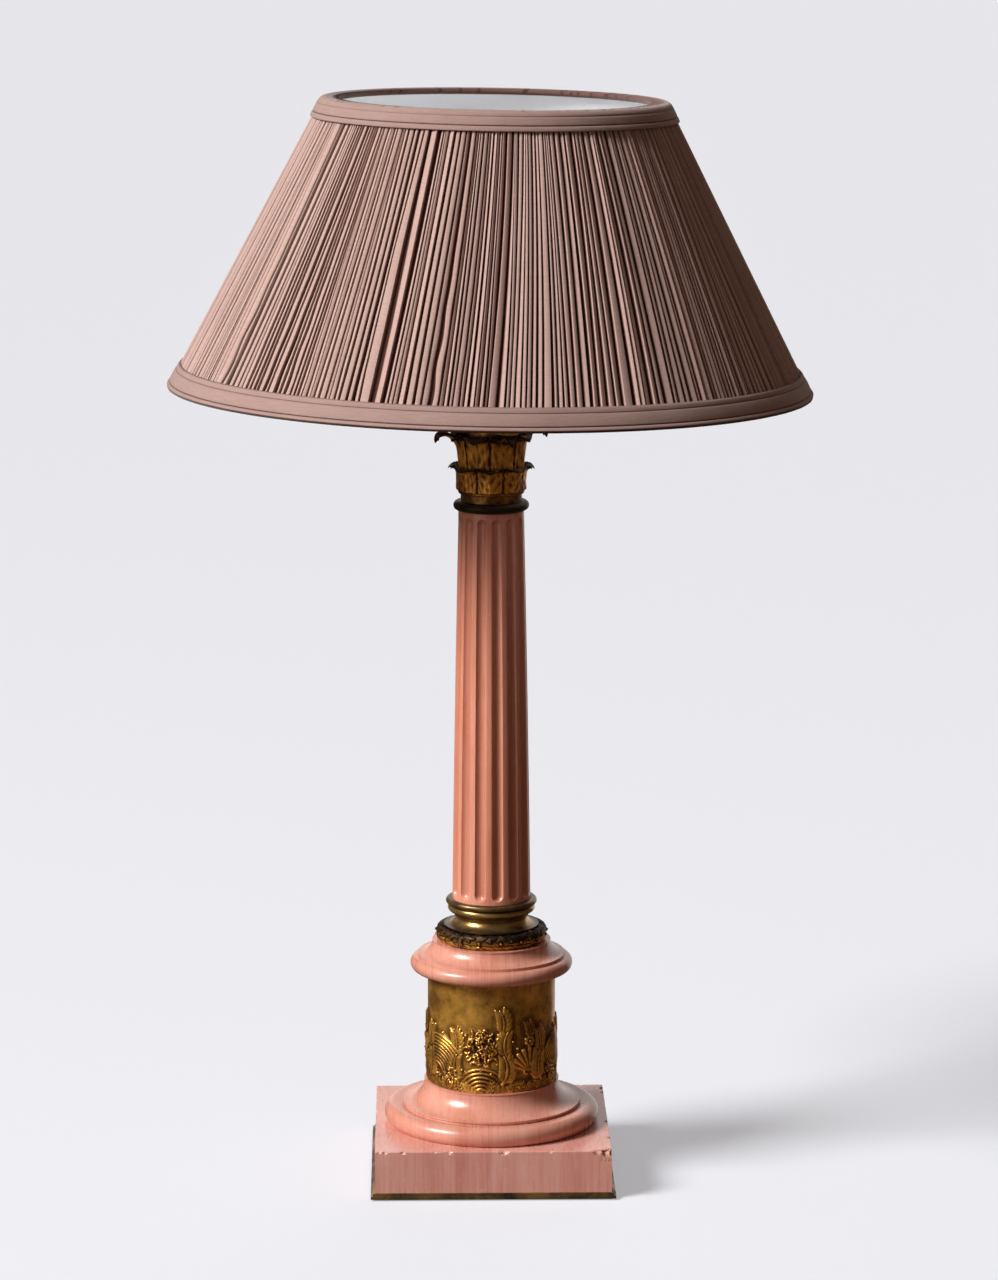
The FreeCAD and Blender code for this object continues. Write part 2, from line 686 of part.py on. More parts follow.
# Bronze drum: a sleeve on the spigots of the two mouldings
drum = body("frieze_drum")
lift(drum, "DrumSeat")
turned(drum, [
    ("Sizes.DrumRadius - Sizes.DrumWall", "0"),
    ("Sizes.DrumRadius + Sizes.DrumBorderRelief", "0"),
    ("Sizes.DrumRadius + Sizes.DrumBorderRelief", "Sizes.DrumBorder"),
    ("Sizes.DrumRadius", "Sizes.DrumBorder + Sizes.DrumBorderRelief"),
    ("Sizes.DrumRadius", "Sizes.DrumHeight"),
    ("Sizes.DrumRadius - Sizes.DrumWall", "Sizes.DrumHeight"),
])

# Stone cornice: torus, quirk, fillet and hollow up to a ledge
cornice = body("cornice")
lift(cornice, "CorniceSeat")
torus_back = "Sizes.CorniceRadius - Sizes.CorniceTorusHeight / 2"
torus_top = "Sizes.CorniceUndersideHeight + Sizes.CorniceTorusHeight"
turned(cornice, [
    ("Levels.Bore", "-Sizes.SpigotHeight"),
    ("Levels.SpigotRadius", "-Sizes.SpigotHeight"),
    ("Levels.SpigotRadius", "0"),
    ("Sizes.CorniceUnderside", "0"),
    ("Sizes.CorniceUnderside", "Sizes.CorniceUndersideHeight"),
    (torus_back, "Sizes.CorniceUndersideHeight", TORUS),
    (torus_back, torus_top),
    (torus_back + " - Sizes.CorniceQuirk", torus_top),
    (torus_back + " - Sizes.CorniceQuirk", torus_top + " + Sizes.CorniceFilletHeight", WIDE_HOLLOW),
    ("Sizes.CorniceLedge - Sizes.CorniceQuirk / 2", "Sizes.CorniceHeight - Sizes.CorniceLip"),
    ("Sizes.CorniceLedge", "Sizes.CorniceHeight - Sizes.CorniceLip"),
    ("Sizes.CorniceLedge", "Sizes.CorniceHeight"),
    ("Levels.Bore", "Sizes.CorniceHeight"),
])

# Laurel wreath: overlapping whorls of leaves that swell and step back round a ring
wreath = body("laurel_wreath")
lift(wreath, "WreathSeat")
wreath_height = "Sizes.WreathThick - Sizes.WreathSeat"
thin_end, thick_end = [
    outline(sketch_on(wreath, "XZ_Plane", name=name), chorded([
        ("Sizes.WreathRadius + " + reach, wreath_height, QUARTER_ROUND),
        ("Sizes.WreathRadius", wreath_height + " + " + reach, QUARTER_ROUND),
        ("Sizes.WreathRadius - " + reach, wreath_height, QUARTER_ROUND),
        ("Sizes.WreathRadius", wreath_height + " - " + reach, QUARTER_ROUND),
    ], WIRE_CHORD_STEP))
    for name, reach in (("ThinEnd", "Sizes.WreathThin"), ("ThickEnd", "Sizes.WreathThick"))]
thick_end.AttachmentOffset = Placement(Vector(0, 0, 0), Rotation(Vector(0, 1, 0), 1))
thick_end.setExpression("AttachmentOffset.Rotation.Angle", "360 deg / Sizes.WreathLeaves")
whorl = wreath.newObject("PartDesign::AdditiveLoft", "Whorl")
whorl.Profile = thin_end
whorl.Sections = [thick_end]
whorl.Ruled = True
patterned(wreath, [whorl], "Sizes.WreathLeaves", "Whorls")
turned(wreath, ring_profile(
    "Sizes.WreathRadius - Sizes.WreathThick", "Sizes.WreathRadius + Sizes.WreathThick",
    "Sizes.WreathSeat * 2", "-Sizes.WreathSeat * 2"), "Seat", cut=True)

# Bronze base of the column: scotia, polished ring and the bead of the cup
cup = body("column_base")
lift(cup, "WreathSeat")
scotia_foot = "Levels.WreathTop + Sizes.ScotiaRim"
neck_level = scotia_foot + " + Sizes.ScotiaHeight"
ring_level = neck_level + " + Sizes.NeckBandHeight"
bead_level = ring_level + " + Sizes.RingHeight"
cup_top = bead_level + " + Sizes.CupBeadHeight"
seat_radius = "Sizes.ColumnFoot + Sizes.CupClearance"
turned(cup, [
    ("Levels.Bore", "0"),
    ("Sizes.WreathRadius - Sizes.WreathThick - Sizes.CupClearance", "0"),
    ("Sizes.WreathRadius - Sizes.WreathThick - Sizes.CupClearance", "Levels.WreathTop"),
    ("Sizes.ScotiaFlare", "Levels.WreathTop"),
    ("Sizes.ScotiaFlare", scotia_foot, DEEP_HOLLOW),
    ("Sizes.ScotiaNeck", neck_level, SHALLOW_HOLLOW),
    ("Sizes.RingRadius - Sizes.RingHeight / 2", ring_level, BEAD),
    ("Sizes.RingRadius - Sizes.RingHeight / 2", bead_level),
    ("Sizes.CupRadius - Sizes.CupBeadHeight / 2", bead_level, BEAD),
    ("Sizes.CupRadius - Sizes.CupBeadHeight / 2", cup_top),
    (seat_radius, cup_top),
    (seat_radius, "Levels.CupFloor"),
    ("Levels.Bore", "Levels.CupFloor"),
])

# Fluted stone column with a slight swell
column = body("column_shaft")
turn(column, "Sizes.FluteTurn")
lift(column, "ColumnSeat")


def column_radius(share):
    """The column's radius at a share of its height: a straight taper and the swell."""
    taper = "Sizes.ColumnFoot + (Sizes.ColumnHead - Sizes.ColumnFoot) * %.9f" % share
    return "%s + Sizes.ColumnSwell * %.9f" % (taper, 4 * share * (1 - share))


swell_shares = [1 / 2]
turned(column, [("Sizes.ColumnBore", "0"), ("Sizes.ColumnFoot", "0")] + [
    (column_radius(share), "Sizes.ColumnHeight * %.9f" % share) for share in swell_shares] + [
    ("Sizes.ColumnHead", "Sizes.ColumnHeight"),
    ("Sizes.ColumnBore", "Sizes.ColumnHeight"),
], "Shaft")
flute_half = "Sizes.ColumnFoot * sin(Sizes.FluteReach / 2 * 1 deg)"
cutter = "((%s) ^ 2 + Sizes.FluteDepth ^ 2) / (2 * Sizes.FluteDepth)" % flute_half


def flute_centre(level):
    """Where the flute's cutter is centred at a height, and its radius there."""
    share = "(1 + (Sizes.ColumnHead / Sizes.ColumnFoot - 1) * (%s) / Sizes.ColumnHeight)" % level
    radius = "(%s) * %s" % (cutter, share)
    return "(Sizes.ColumnFoot * %s - Sizes.FluteDepth * %s + %s)" % (share, share, radius), radius


foot_level = "Sizes.FluteStart"
head_level = "(Sizes.ColumnHeight - Sizes.FluteEnd)"
foot_x, foot_reach = flute_centre(foot_level)
head_x, head_reach = flute_centre(head_level)
axis_length = "sqrt((%s - %s) ^ 2 + (%s - %s) ^ 2)" % (head_x, foot_x, head_level, foot_level)
along_x = "(%s - %s) / %s" % (head_x, foot_x, axis_length)
along_z = "(%s - %s) / %s" % (head_level, foot_level, axis_length)
foot_side = "(%s - (%s) * %s)" % (foot_x, foot_reach, along_z)
head_side = "(%s - (%s) * %s)" % (head_x, head_reach, along_z)
foot_turn = "(%s + (%s) * %s)" % (foot_level, foot_reach, along_x)
head_turn = "(%s + (%s) * %s)" % (head_level, head_reach, along_x)
flute_sketch = outline(sketch_on(column, "XZ_Plane", name="FluteProfile"), chorded([
    ("%s - (%s) * %s" % (foot_x, foot_reach, along_x),
     "%s - (%s) * %s" % (foot_level, foot_reach, along_z), -QUARTER_ROUND),
    (foot_side, foot_turn),
] + [
    ("%s + (%s - %s) * %.9f + Sizes.ColumnSwell * %.9f" % (
        foot_side, head_side, foot_side, share, 4 * share * (1 - share)),
     "%s + (%s - %s) * %.9f" % (foot_turn, head_turn, foot_turn, share)) for share in swell_shares
] + [
    (head_side, head_turn, -QUARTER_ROUND),
    ("%s + (%s) * %s" % (head_x, head_reach, along_x),
     "%s + (%s) * %s" % (head_level, head_reach, along_z)),
], WIRE_CHORD_STEP))
doc.recompute()
lengths = [edge.Length for edge in flute_sketch.Shape.Edges]
longest = lengths.index(max(lengths)) + 1
flute = column.newObject("PartDesign::Groove", "Flute")
flute.Profile = flute_sketch
flute.ReferenceAxis = (flute_sketch, ["Edge%d" % longest])
flute.Angle = 360
patterned(column, [flute], "Sizes.FluteCount", "Flutes")

# Ring between the column and the capital
astragal = body("astragal_ring")
lift(astragal, "AstragalSeat")
astragal_back = "Sizes.AstragalRadius - Sizes.AstragalHeight / 2"
turned(astragal, [
    ("Levels.Bore", "0"),
    (astragal_back, "0", TORUS),
    (astragal_back, "Sizes.AstragalHeight"),
    ("Levels.Bore", "Sizes.AstragalHeight"),
])

# Bell of the capital: necking, bead and the core that the leaves stand against
bell = body("capital_bell")
lift(bell, "CapitalSeat")
bell_foot = "Sizes.NeckingHeight + Sizes.BeadHeight"
bell_waist = bell_foot + " + Sizes.BellHeight * 0.4"
bell_top = bell_foot + " + Sizes.BellHeight"
turned(bell, [
    ("Levels.Bore", "0"),
    ("Sizes.NeckingRadius", "0"),
    ("Sizes.NeckingRadius", "Sizes.NeckingHeight"),
    ("Sizes.BeadRadius - Sizes.BeadHeight / 2", "Sizes.NeckingHeight", BEAD),
    ("Sizes.BeadRadius - Sizes.BeadHeight / 2", bell_foot),
    ("Sizes.BellRadius", bell_foot),
    ("Sizes.BellRadius", bell_waist),
    ("Sizes.BellHead", bell_top),
    ("Sizes.BellHead - Sizes.BellWall", bell_top),
    ("Sizes.BellRadius - Sizes.BellWall", bell_waist),
    ("Sizes.BellRadius - Sizes.BellWall", "Sizes.BellWall"),
    ("Levels.Bore", "Sizes.BellWall"),
])


# Half the gap between two leaves at shares of their height, and the cut between their tips
LOWER_GAPS = [(0.9, 0.18), (1.1, 0.45), (1.6, 0.68)]
TIP_GAPS = [(0.26, 0.86), (0.34, 1.1)]


def leaf_tier(label, start, height, waist, inner, tip, top_inner, turn_by):
    """A ring of acanthus leaves: a curled shell of revolution, notched between the leaves.

    start, height and waist are measured from the top of the bead: the shell is upright up
    to its waist. The radii are those of its inner face there, of the leaf tips and of its
    inner face under the curl.
    """
    tier = body(label)
    turn(tier, turn_by)
    lift(tier, "LeafSeat")
    curl = "%s + %s" % (start, height)
    reach = "(%s - (%s))" % (tip, top_inner)
    turned(tier, [
        (inner, start),
        (inner + " + Sizes.LeafThickness", start),
        (inner + " + Sizes.LeafThickness", waist),
        (top_inner + " + Sizes.LeafThickness", curl + " - 0.55 * %s" % reach, SLACK_HOLLOW),
        (tip + " - Sizes.LeafThickness / 2", curl + " - Sizes.LeafDroop", SOFT_ROUND),
        (tip, curl + " - Sizes.LeafDroop / 2", SOFT_ROUND),
        (tip + " - 0.45 * %s" % reach, curl, DOME / 2),
        (top_inner, curl + " - 0.35 * %s" % reach),
        (inner, waist),
    ], "Curl", step=LEAF_CHORD_STEP)
    half_pitch = "(%s) * tan(180 deg / Sizes.LeafCount)" % tip
    side = [("%g * Sizes.LeafGap / 2" % width, "%s + %g * (%s)" % (start, share, height))
            for width, share in LOWER_GAPS]
    side += [("%g * %s" % (width, half_pitch), "%s + %g * (%s)" % (start, share, height))
             for width, share in TIP_GAPS]
    mirrored = [("-" + x, level) for x, level in reversed(side)]
    notch = outline(sketch_on(tier, "XZ_Plane", name="Notch"), side + mirrored)
    gap = pocketed(tier, notch, "%s + %d" % (tip, CUT_MARGIN), "Gap")
    patterned(tier, [gap], "Sizes.LeafCount", "Gaps")


shell_at_bead = "Sizes.BellRadius + Sizes.LeafClearance"
second_shell = shell_at_bead + " + Sizes.LeafThickness + Sizes.LeafClearance"
leaf_turn = "Sizes.CapitalTurn"
leaf_tier("lower_leaf_tier", "0", "Sizes.LowerLeafHeight", "Sizes.LowerLeafHeight / 2", second_shell,
          "Sizes.LowerLeafTip", second_shell, leaf_turn)
leaf_tier("upper_leaf_tier", "Sizes.UpperLeafStart", "Sizes.UpperLeafHeight - Sizes.UpperLeafStart",
          "Sizes.LowerLeafHeight + Sizes.LeafThickness", shell_at_bead, "Sizes.UpperLeafTip",
          "Sizes.BellHead + Sizes.LeafClearance", leaf_turn + " + 180 / Sizes.LeafCount")


def corner_volute(number):
    """A scroll under one horn of the abacus, carried by a stem from the bell."""
    piece = body("corner_volute_%d" % (number + 1))
    turn(piece, "Sizes.CapitalTurn + 90 * %d" % number)
    lift(piece, "AbacusSeat")
    root = "Sizes.BellHead + Sizes.LeafClearance"
    centre = "Sizes.VoluteReach - Sizes.VoluteRadius"
    scroll = outline(sketch_on(piece, "XZ_Plane", name="Scroll"), [
        (root, "0"),
        (root, "-Sizes.VoluteStem"),
        (centre + " - Sizes.VoluteRadius", "-Sizes.VoluteStem"),
        (centre + " - Sizes.VoluteRadius", "-Sizes.VoluteRadius", QUARTER_ROUND),
        (centre, "-2 * Sizes.VoluteRadius", QUARTER_ROUND),
        (centre + " + Sizes.VoluteRadius", "-Sizes.VoluteRadius", QUARTER_ROUND),
        (centre, "0"),
    ])
    padded(piece, scroll, "Sizes.VoluteWidth", "Stem", both_ways=True)
    eye = disc(sketch_on(piece, "XZ_Plane", name="Eye"), "Sizes.VoluteEye", centre, "-Sizes.VoluteRadius")
    padded(piece, eye, "Sizes.VoluteWidth + 2 * Sizes.VoluteEyeRelief", "EyePad", both_ways=True)


for number in range(4):
    corner_volute(number)

# Abacus: a plate with hollow sides and cut horns, stepped underneath
abacus = body("capital_abacus")
turn(abacus, "Sizes.CapitalTurn")
lift(abacus, "AbacusSeat")


def abacus_outline(inset):
    reach = "(Sizes.AbacusReach - %s)" % inset
    horn = "(Sizes.AbacusHorn - %s / 2)" % inset
    return [
        (reach, "-" + horn), (reach, horn, SLACK_HOLLOW),
        (horn, reach), ("-" + horn, reach, SLACK_HOLLOW),
        ("-" + reach, horn), ("-" + reach, "-" + horn, SLACK_HOLLOW),
        ("-" + horn, "-" + reach), (horn, "-" + reach, SLACK_HOLLOW),
    ]


lower = outline(sketch_on(abacus, "XY_Plane", name="Lower"), abacus_outline("Sizes.AbacusInset"))
padded(abacus, lower, "Sizes.AbacusStep", "LowerPad")
upper = outline(sketch_on(abacus, "XY_Plane", "Sizes.AbacusStep", "Upper"), abacus_outline("0"))
padded(abacus, upper, "Sizes.AbacusHeight - Sizes.AbacusStep", "UpperPad")
pocketed(abacus, disc(sketch_on(abacus, "XY_Plane", name="Bore"), "Levels.Bore"),
         "Sizes.AbacusHeight", "BorePocket", reverse=True)

# Turned cap over the capital
cap = body("neck_cap")
lift(cap, "CapSeat")
turned(cap, [
    ("Levels.Bore", "0"),
    ("Sizes.CapFoot", "0"),
    ("Sizes.CapFoot", "Sizes.CapFootHeight", WIDE_HOLLOW),
    ("Sizes.CapHead", "Sizes.CapHeight"),
    ("Levels.Bore", "Sizes.CapHeight"),
])

# Lampholder cap: boss on the tube, dome and barrel
holder = body("holder_cap")
lift(holder, "HolderSeat")
dome_top = "Sizes.HolderBossHeight + Sizes.HolderDomeHeight"
holder_inner = "Sizes.HolderRadius - Sizes.HolderWall"
turned(holder, [
    ("Levels.Bore", "0"),
    ("Sizes.HolderBossRadius", "0"),
    ("Sizes.HolderBossRadius", "Sizes.HolderBossHeight", DOME),
    ("Sizes.HolderRadius", dome_top),
    ("Sizes.HolderRadius", "Sizes.HolderCapHeight"),
    (holder_inner, "Sizes.HolderCapHeight"),
    (holder_inner, dome_top, -DOME),
    ("Sizes.HolderBossRadius - Sizes.HolderWall", "Sizes.HolderBossHeight + Sizes.HolderWall"),
    ("Levels.Bore", "Sizes.HolderBossHeight + Sizes.HolderWall"),
], "Shell")
pocketed(holder, disc(sketch_on(holder, "YZ_Plane", name="SwitchHole"),
                      "Sizes.SwitchBushRadius + Sizes.BushClearance", "0", "Sizes.SwitchHeight"),
         "Sizes.HolderRadius + Sizes.SwitchBushLength", "SwitchPocket", reverse=True)
pocketed(holder, disc(sketch_on(holder, "XZ_Plane", name="GrubHole"),
                      "Sizes.GrubRadius", "0", "Sizes.GrubHeight"),
         "Sizes.HolderBossRadius", "GrubPocket")

# Grub screw that locks the lampholder on the tube
grub = body("grub_screw")
turned(grub, [
    ("0", "Levels.Bore"),
    ("Sizes.GrubRadius", "Levels.Bore"),
    ("Sizes.GrubRadius", "Sizes.HolderBossRadius"),
    ("0", "Sizes.HolderBossRadius"),
])
grub.Placement = Placement(Vector(0, 0, 0), Rotation(Vector(1, 0, 0), -90))
grub.setExpression("Placement.Base.z", "Levels.HolderSeat + Sizes.GrubHeight")

# Skirt with the outside thread, screwed down on the cap
skirt = body("holder_skirt")
lift(skirt, "SkirtSeat")
skirt_inner = "Sizes.InsulatorRadius + Sizes.TubeClearance"
turned(skirt, [
    (skirt_inner, "0"),
    ("Sizes.SkirtRadius", "0"),
    ("Sizes.SkirtRadius", "Sizes.SkirtHeight"),
    ("Sizes.ShellInner + Sizes.ShellWall + Sizes.TubeClearance", "Sizes.SkirtHeight"),
    ("Sizes.ShellInner + Sizes.ShellWall + Sizes.TubeClearance", "Sizes.SkirtHeight - Sizes.SkirtLip"),
    (skirt_inner, "Sizes.SkirtHeight - Sizes.SkirtLip"),
])

# Porcelain insulator with its contact, screw shell and terminal screws
insulator = body("porcelain_insulator")
lift(insulator, "InsulatorSeat")
insulator_waist = "Sizes.HolderCapHeight - Sizes.InsulatorFoot"
insulator_rim = insulator_waist + " - Sizes.InsulatorRim"
insulator_foot = "Sizes.InsulatorRadius - Sizes.HolderWall - Sizes.TerminalHeight"
turned(insulator, [
    ("Sizes.InsulatorBore", "0"),
    (insulator_foot, "0"),
    (insulator_foot, insulator_rim),
    ("Sizes.InsulatorRadius", insulator_rim),
    ("Sizes.InsulatorRadius", "Sizes.InsulatorHeight"),
    ("0", "Sizes.InsulatorHeight"),
    ("0", insulator_waist),
    ("Sizes.InsulatorBore", insulator_waist),
])
shell = body("screw_shell")
lift(shell, "InsulatorTop")
turned(shell, ring_profile("Sizes.ShellInner", "Sizes.ShellInner + Sizes.ShellWall", "Sizes.ShellHeight"))
contact = body("centre_contact")
lift(contact, "InsulatorTop")
turned(contact, [
    ("0", "0"),
    ("Sizes.ContactRadius", "0"),
    ("Sizes.ContactRadius", "Sizes.ContactHeight / 2"),
    ("Sizes.ContactRadius / 2", "Sizes.ContactHeight"),
    ("0", "Sizes.ContactHeight"),
])
for number, side in enumerate(("-", "")):
    screw = keep(doc.addObject("Part::Cylinder", "Terminal%d" % number), "terminal_screw_%d" % (number + 1))
    screw.setExpression("Radius", "Sizes.TerminalRadius")
    screw.setExpression("Height", "Sizes.TerminalHeight")
    screw.setExpression("Placement.Base.y", side + "(Sizes.InsulatorRadius - Sizes.TerminalInset)")
    screw.setExpression("Placement.Base.z", "Levels.InsulatorSeat - Sizes.TerminalHeight")

# Bush and key of the rotary switch, on the lampholder's +X side
switch_bush = body("switch_bush")
turned(switch_bush, ring_profile(
    "Sizes.KeyStemRadius + Sizes.KeyStemClearance", "Sizes.SwitchBushRadius", "Sizes.SwitchBushLength",
    "Levels.SwitchFace - Sizes.SwitchBushLength"))
key = body("switch_key")
turned(key, [
    ("0", "Levels.SwitchFace - Sizes.SwitchBushLength - Sizes.KeyStemTail"),
    ("Sizes.KeyStemRadius", "Levels.SwitchFace - Sizes.SwitchBushLength - Sizes.KeyStemTail"),
    ("Sizes.KeyStemRadius", "Levels.SwitchFace + Sizes.KeyGap"),
    ("Sizes.KeyCollarRadius", "Levels.SwitchFace + Sizes.KeyGap"),
    ("Sizes.KeyCollarRadius", "Levels.SwitchFace + Sizes.KeyGap + Sizes.KeyCollarLength"),
    ("0", "Levels.SwitchFace + Sizes.KeyGap + Sizes.KeyCollarLength"),
], "Stem")
paddle_start = "Levels.SwitchFace + Sizes.KeyGap + Sizes.KeyCollarLength / 2"
paddle_shoulder = paddle_start + " + Sizes.KeyPaddleLength * 0.55"
paddle_end = paddle_start + " + Sizes.KeyPaddleLength"
paddle = outline(sketch_on(key, "XZ_Plane", name="Paddle"), [
    ("-Sizes.KeyCollarRadius * 0.7", paddle_start),
    ("Sizes.KeyCollarRadius * 0.7", paddle_start, SLACK_HOLLOW),
    ("Sizes.KeyPaddleWidth / 2", paddle_shoulder, QUARTER_ROUND),
    ("Sizes.KeyPaddleWidth / 2 - Sizes.KeyPaddleLength * 0.4", paddle_end),
    ("-Sizes.KeyPaddleWidth / 2 + Sizes.KeyPaddleLength * 0.4", paddle_end, QUARTER_ROUND),
    ("-Sizes.KeyPaddleWidth / 2", paddle_shoulder, SLACK_HOLLOW),
])
padded(key, paddle, "Sizes.KeyPaddleThickness", "PaddlePad", both_ways=True)
for piece in (switch_bush, key):
    piece.Placement = Placement(Vector(0, 0, 0), Rotation(Vector(0, 1, 0), 90))
    lift(piece, "SwitchLevel")

# Fixed flange that the shade rests on, and the notched ring that clamps it
flange = body("shade_flange")
lift(flange, "FlangeSeat")
turned(flange, ring_profile("Sizes.SkirtRadius", "Sizes.FlangeRadius", "Sizes.FlangeThickness"))
clamp = body("shade_clamp_ring")
lift(clamp, "ClampSeat")
turned(clamp, ring_profile(
    "Sizes.SkirtRadius + Sizes.RingClearance", "Sizes.ClampRadius", "Sizes.ClampHeight"))
notch = pocketed(clamp, disc(sketch_on(clamp, "XY_Plane", name="Notch"), "Sizes.ClampNotchRadius",
                             "Sizes.ClampRadius"), "Sizes.ClampHeight", "NotchPocket", reverse=True)
patterned(clamp, [notch], "Sizes.ClampNotches", "Notches")


def cone_radius(inset, level):
    """Radius of the shade's outer line at a level, less an inset."""
    return "Sizes.ShadeFoot - (%s) - Levels.ShadeSlope * (%s - Levels.ShadeBottom)" % (inset, level)


# Shade carrier: a ring with three arms, and the two rings of wire
fitter = body("shade_fitter")
lean(fitter)
turned(fitter, ring_profile("Sizes.FitterBore", "Sizes.FitterRadius", "Sizes.FitterThickness",
                            "-Sizes.FitterThickness / 2"), "Ring")
wire_centre = cone_radius("Levels.WireInset", "Levels.WireBottom")
arm_root = "Sizes.FitterRadius - Sizes.ArmRadius"
arm_knee = "Sizes.FitterRadius + Sizes.ArmRun"
arm_level = "(Sizes.FitterThickness / 2 - Sizes.ArmRadius)"
arm_path = sketch_on(fitter, "XZ_Plane", name="ArmPath")
seat_on_wire = "Sizes.WireRadius * cos(45 deg)"
arm_end = "(%s - %s)" % (wire_centre, seat_on_wire)
arm_end_level = "Levels.WireBottom + %s + Sizes.ArmRadius" % seat_on_wire
open_path(arm_path, [
    (arm_root, arm_level),
    (arm_knee, arm_level),
    (arm_end, arm_end_level),
])
arm_section = disc(sketch_on(fitter, "YZ_Plane", arm_root, "ArmSection"), "Sizes.ArmRadius", "0", arm_level)
arm = fitter.newObject("PartDesign::AdditivePipe", "Arm")
arm.Profile = arm_section
arm.Spine = (arm_path, [])
arm.Transition = "Round corner"
patterned(fitter, [arm], "Sizes.FitterArms", "Arms")

for label, level in (("bottom_wire_ring", "WireBottom"), ("top_wire_ring", "WireTop")):
    wire = body(label)
    lean(wire)
    radius = cone_radius("Levels.WireInset", "Levels." + level)
    turned(wire, [
        ("%s + Sizes.WireRadius" % radius, "Levels." + level, QUARTER_ROUND),
        (radius, "Levels.%s + Sizes.WireRadius" % level, QUARTER_ROUND),
        ("%s - Sizes.WireRadius" % radius, "Levels." + level, QUARTER_ROUND),
        (radius, "Levels.%s - Sizes.WireRadius" % level, QUARTER_ROUND),
    ], step=WIRE_CHORD_STEP)

# White lining, a stiff cone
lining = body("shade_lining")
lean(lining)
inner_line = "Levels.LiningInset + Sizes.LiningThickness"
turned(lining, [
    (cone_radius(inner_line, "Levels.ClothBottom"), "Levels.ClothBottom"),
    (cone_radius("Levels.LiningInset", "Levels.ClothBottom"), "Levels.ClothBottom"),
    (cone_radius("Levels.LiningInset", "Levels.ClothTop"), "Levels.ClothTop"),
    (cone_radius(inner_line, "Levels.ClothTop"), "Levels.ClothTop"),
])

# Bound edges of the shade: strips of cloth turned over the wire rings
for label, edge, sign in (("bottom_trim", "Levels.ShadeBottom", "+"), ("top_trim", "Levels.ShadeTop", "-")):
    trim = body(label)
    lean(trim)
    far = "%s %s Sizes.TrimHeight" % (edge, sign)
    fold = "%s %s Sizes.TrimThickness" % (edge, sign)
    near = "%s %s Sizes.TrimTurn" % (edge, sign)
    inside = "Levels.TurnInset + Sizes.TrimThickness"
    corners = [
        (cone_radius("0", edge), edge),
        (cone_radius("0", far), far),
        (cone_radius("Sizes.TrimThickness", far), far),
        (cone_radius("Sizes.TrimThickness", fold), fold),
        (cone_radius("Levels.TurnInset", fold), fold),
        (cone_radius("Levels.TurnInset", near), near),
        (cone_radius(inside, near), near),
        (cone_radius(inside, edge), edge),
    ]
    turned(trim, corners)

# Pleated cover: knife pleats that narrow towards the head, over a smooth back of flats
bottom = size("ClothBottom")
top = size("ClothTop")
foot_ridge = size("ShadeFoot") - size("RidgeInset") - size("ShadeSlope") * (bottom - size("ShadeBottom"))
head_ridge = size("ShadeFoot") - size("RidgeInset") - size("ShadeSlope") * (top - size("ShadeBottom"))
pleats = int(size("PleatCount"))
flats = pleats // PLEATS_TO_A_FLAT


def ring_of_corners(count, level, reaches):
    """Corners round the shade's axis at one level, their radii taken in turn from reaches."""
    corners = []
    for number in range(count):
        angle = 2 * math.pi * number / count
        reach = reaches[number % len(reaches)]
        corners.append(Vector(reach * math.cos(angle), reach * math.sin(angle), level))
    return corners


def pleat_line(ridge, level):
    return ring_of_corners(2 * pleats, level, [ridge, ridge * (1 - size("PleatDepth") / foot_ridge)])


def back_line(ridge, level):
    reach = (ridge - size("PleatDepth") - size("PleatBacking")) / math.cos(math.pi / flats)
    return ring_of_corners(flats, level, [reach])


def closed(corners):
    return Part.makePolygon(corners + corners[:1])


def band_of_flats(lower, upper):
    """Flat faces between two rings that have as many corners."""
    faces = []
    for place in range(len(lower)):
        faces.append(Part.Face(closed([lower[place - 1], lower[place], upper[place], upper[place - 1]])))
    return faces


cover_faces = band_of_flats(pleat_line(foot_ridge, bottom), pleat_line(head_ridge, top))
cover_faces += band_of_flats(back_line(foot_ridge, bottom), back_line(head_ridge, top))
for ridge, level in ((foot_ridge, bottom), (head_ridge, top)):
    rim = Part.Face(closed(pleat_line(ridge, level)))
    cover_faces.append(rim.cut(Part.Face(closed(back_line(ridge, level)))).Faces[0])
cover_shell = Part.makeShell(cover_faces)
cover_shell.sewShape()
cover = keep(doc.addObject("Part::Feature", "PleatedCover"), "pleated_cover")
cover.Shape = Part.makeSolid(cover_shell)
lean(cover)

# Bulb: opal glass, metal cap and bottom contact
glass = body("bulb_glass")
lift(glass, "BulbSeat")
cap_foot = "Sizes.BulbContactHeight + Sizes.BulbInsulatorHeight"
cap_rim = cap_foot + " + Sizes.BulbCapHeight"
glass_foot = cap_rim + " - Sizes.BulbSeatDepth"
glass_inset = "Sizes.BulbCapRadius - Sizes.BulbCapWall"
globe_level = "Sizes.BulbHeight - Sizes.BulbRadius"
turned(glass, [
    ("0", glass_foot),
    (glass_inset, glass_foot),
    (glass_inset, cap_rim),
    ("Sizes.BulbNeck", cap_rim + " + Sizes.BulbCapWall", SHALLOW_HOLLOW),
    ("Sizes.BulbCheekRadius", globe_level + " - Sizes.BulbCheekDrop", -SHALLOW_HOLLOW / 2),
    ("Sizes.BulbRadius", globe_level, SOFT_ROUND),
    ("Sizes.BulbTip", "Sizes.BulbHeight"),
    ("0", "Sizes.BulbHeight"),
], step=FINE_CHORD_STEP)
bulb_cap = body("bulb_cap")
lift(bulb_cap, "BulbSeat")
turned(bulb_cap, [
    ("0", cap_foot),
    ("Sizes.BulbCapRadius", cap_foot),
    ("Sizes.BulbCapRadius", cap_rim),
    (glass_inset, cap_rim),
    (glass_inset, glass_foot),
    ("0", glass_foot),
])
bulb_contact = body("bulb_contact")
lift(bulb_contact, "BulbSeat")
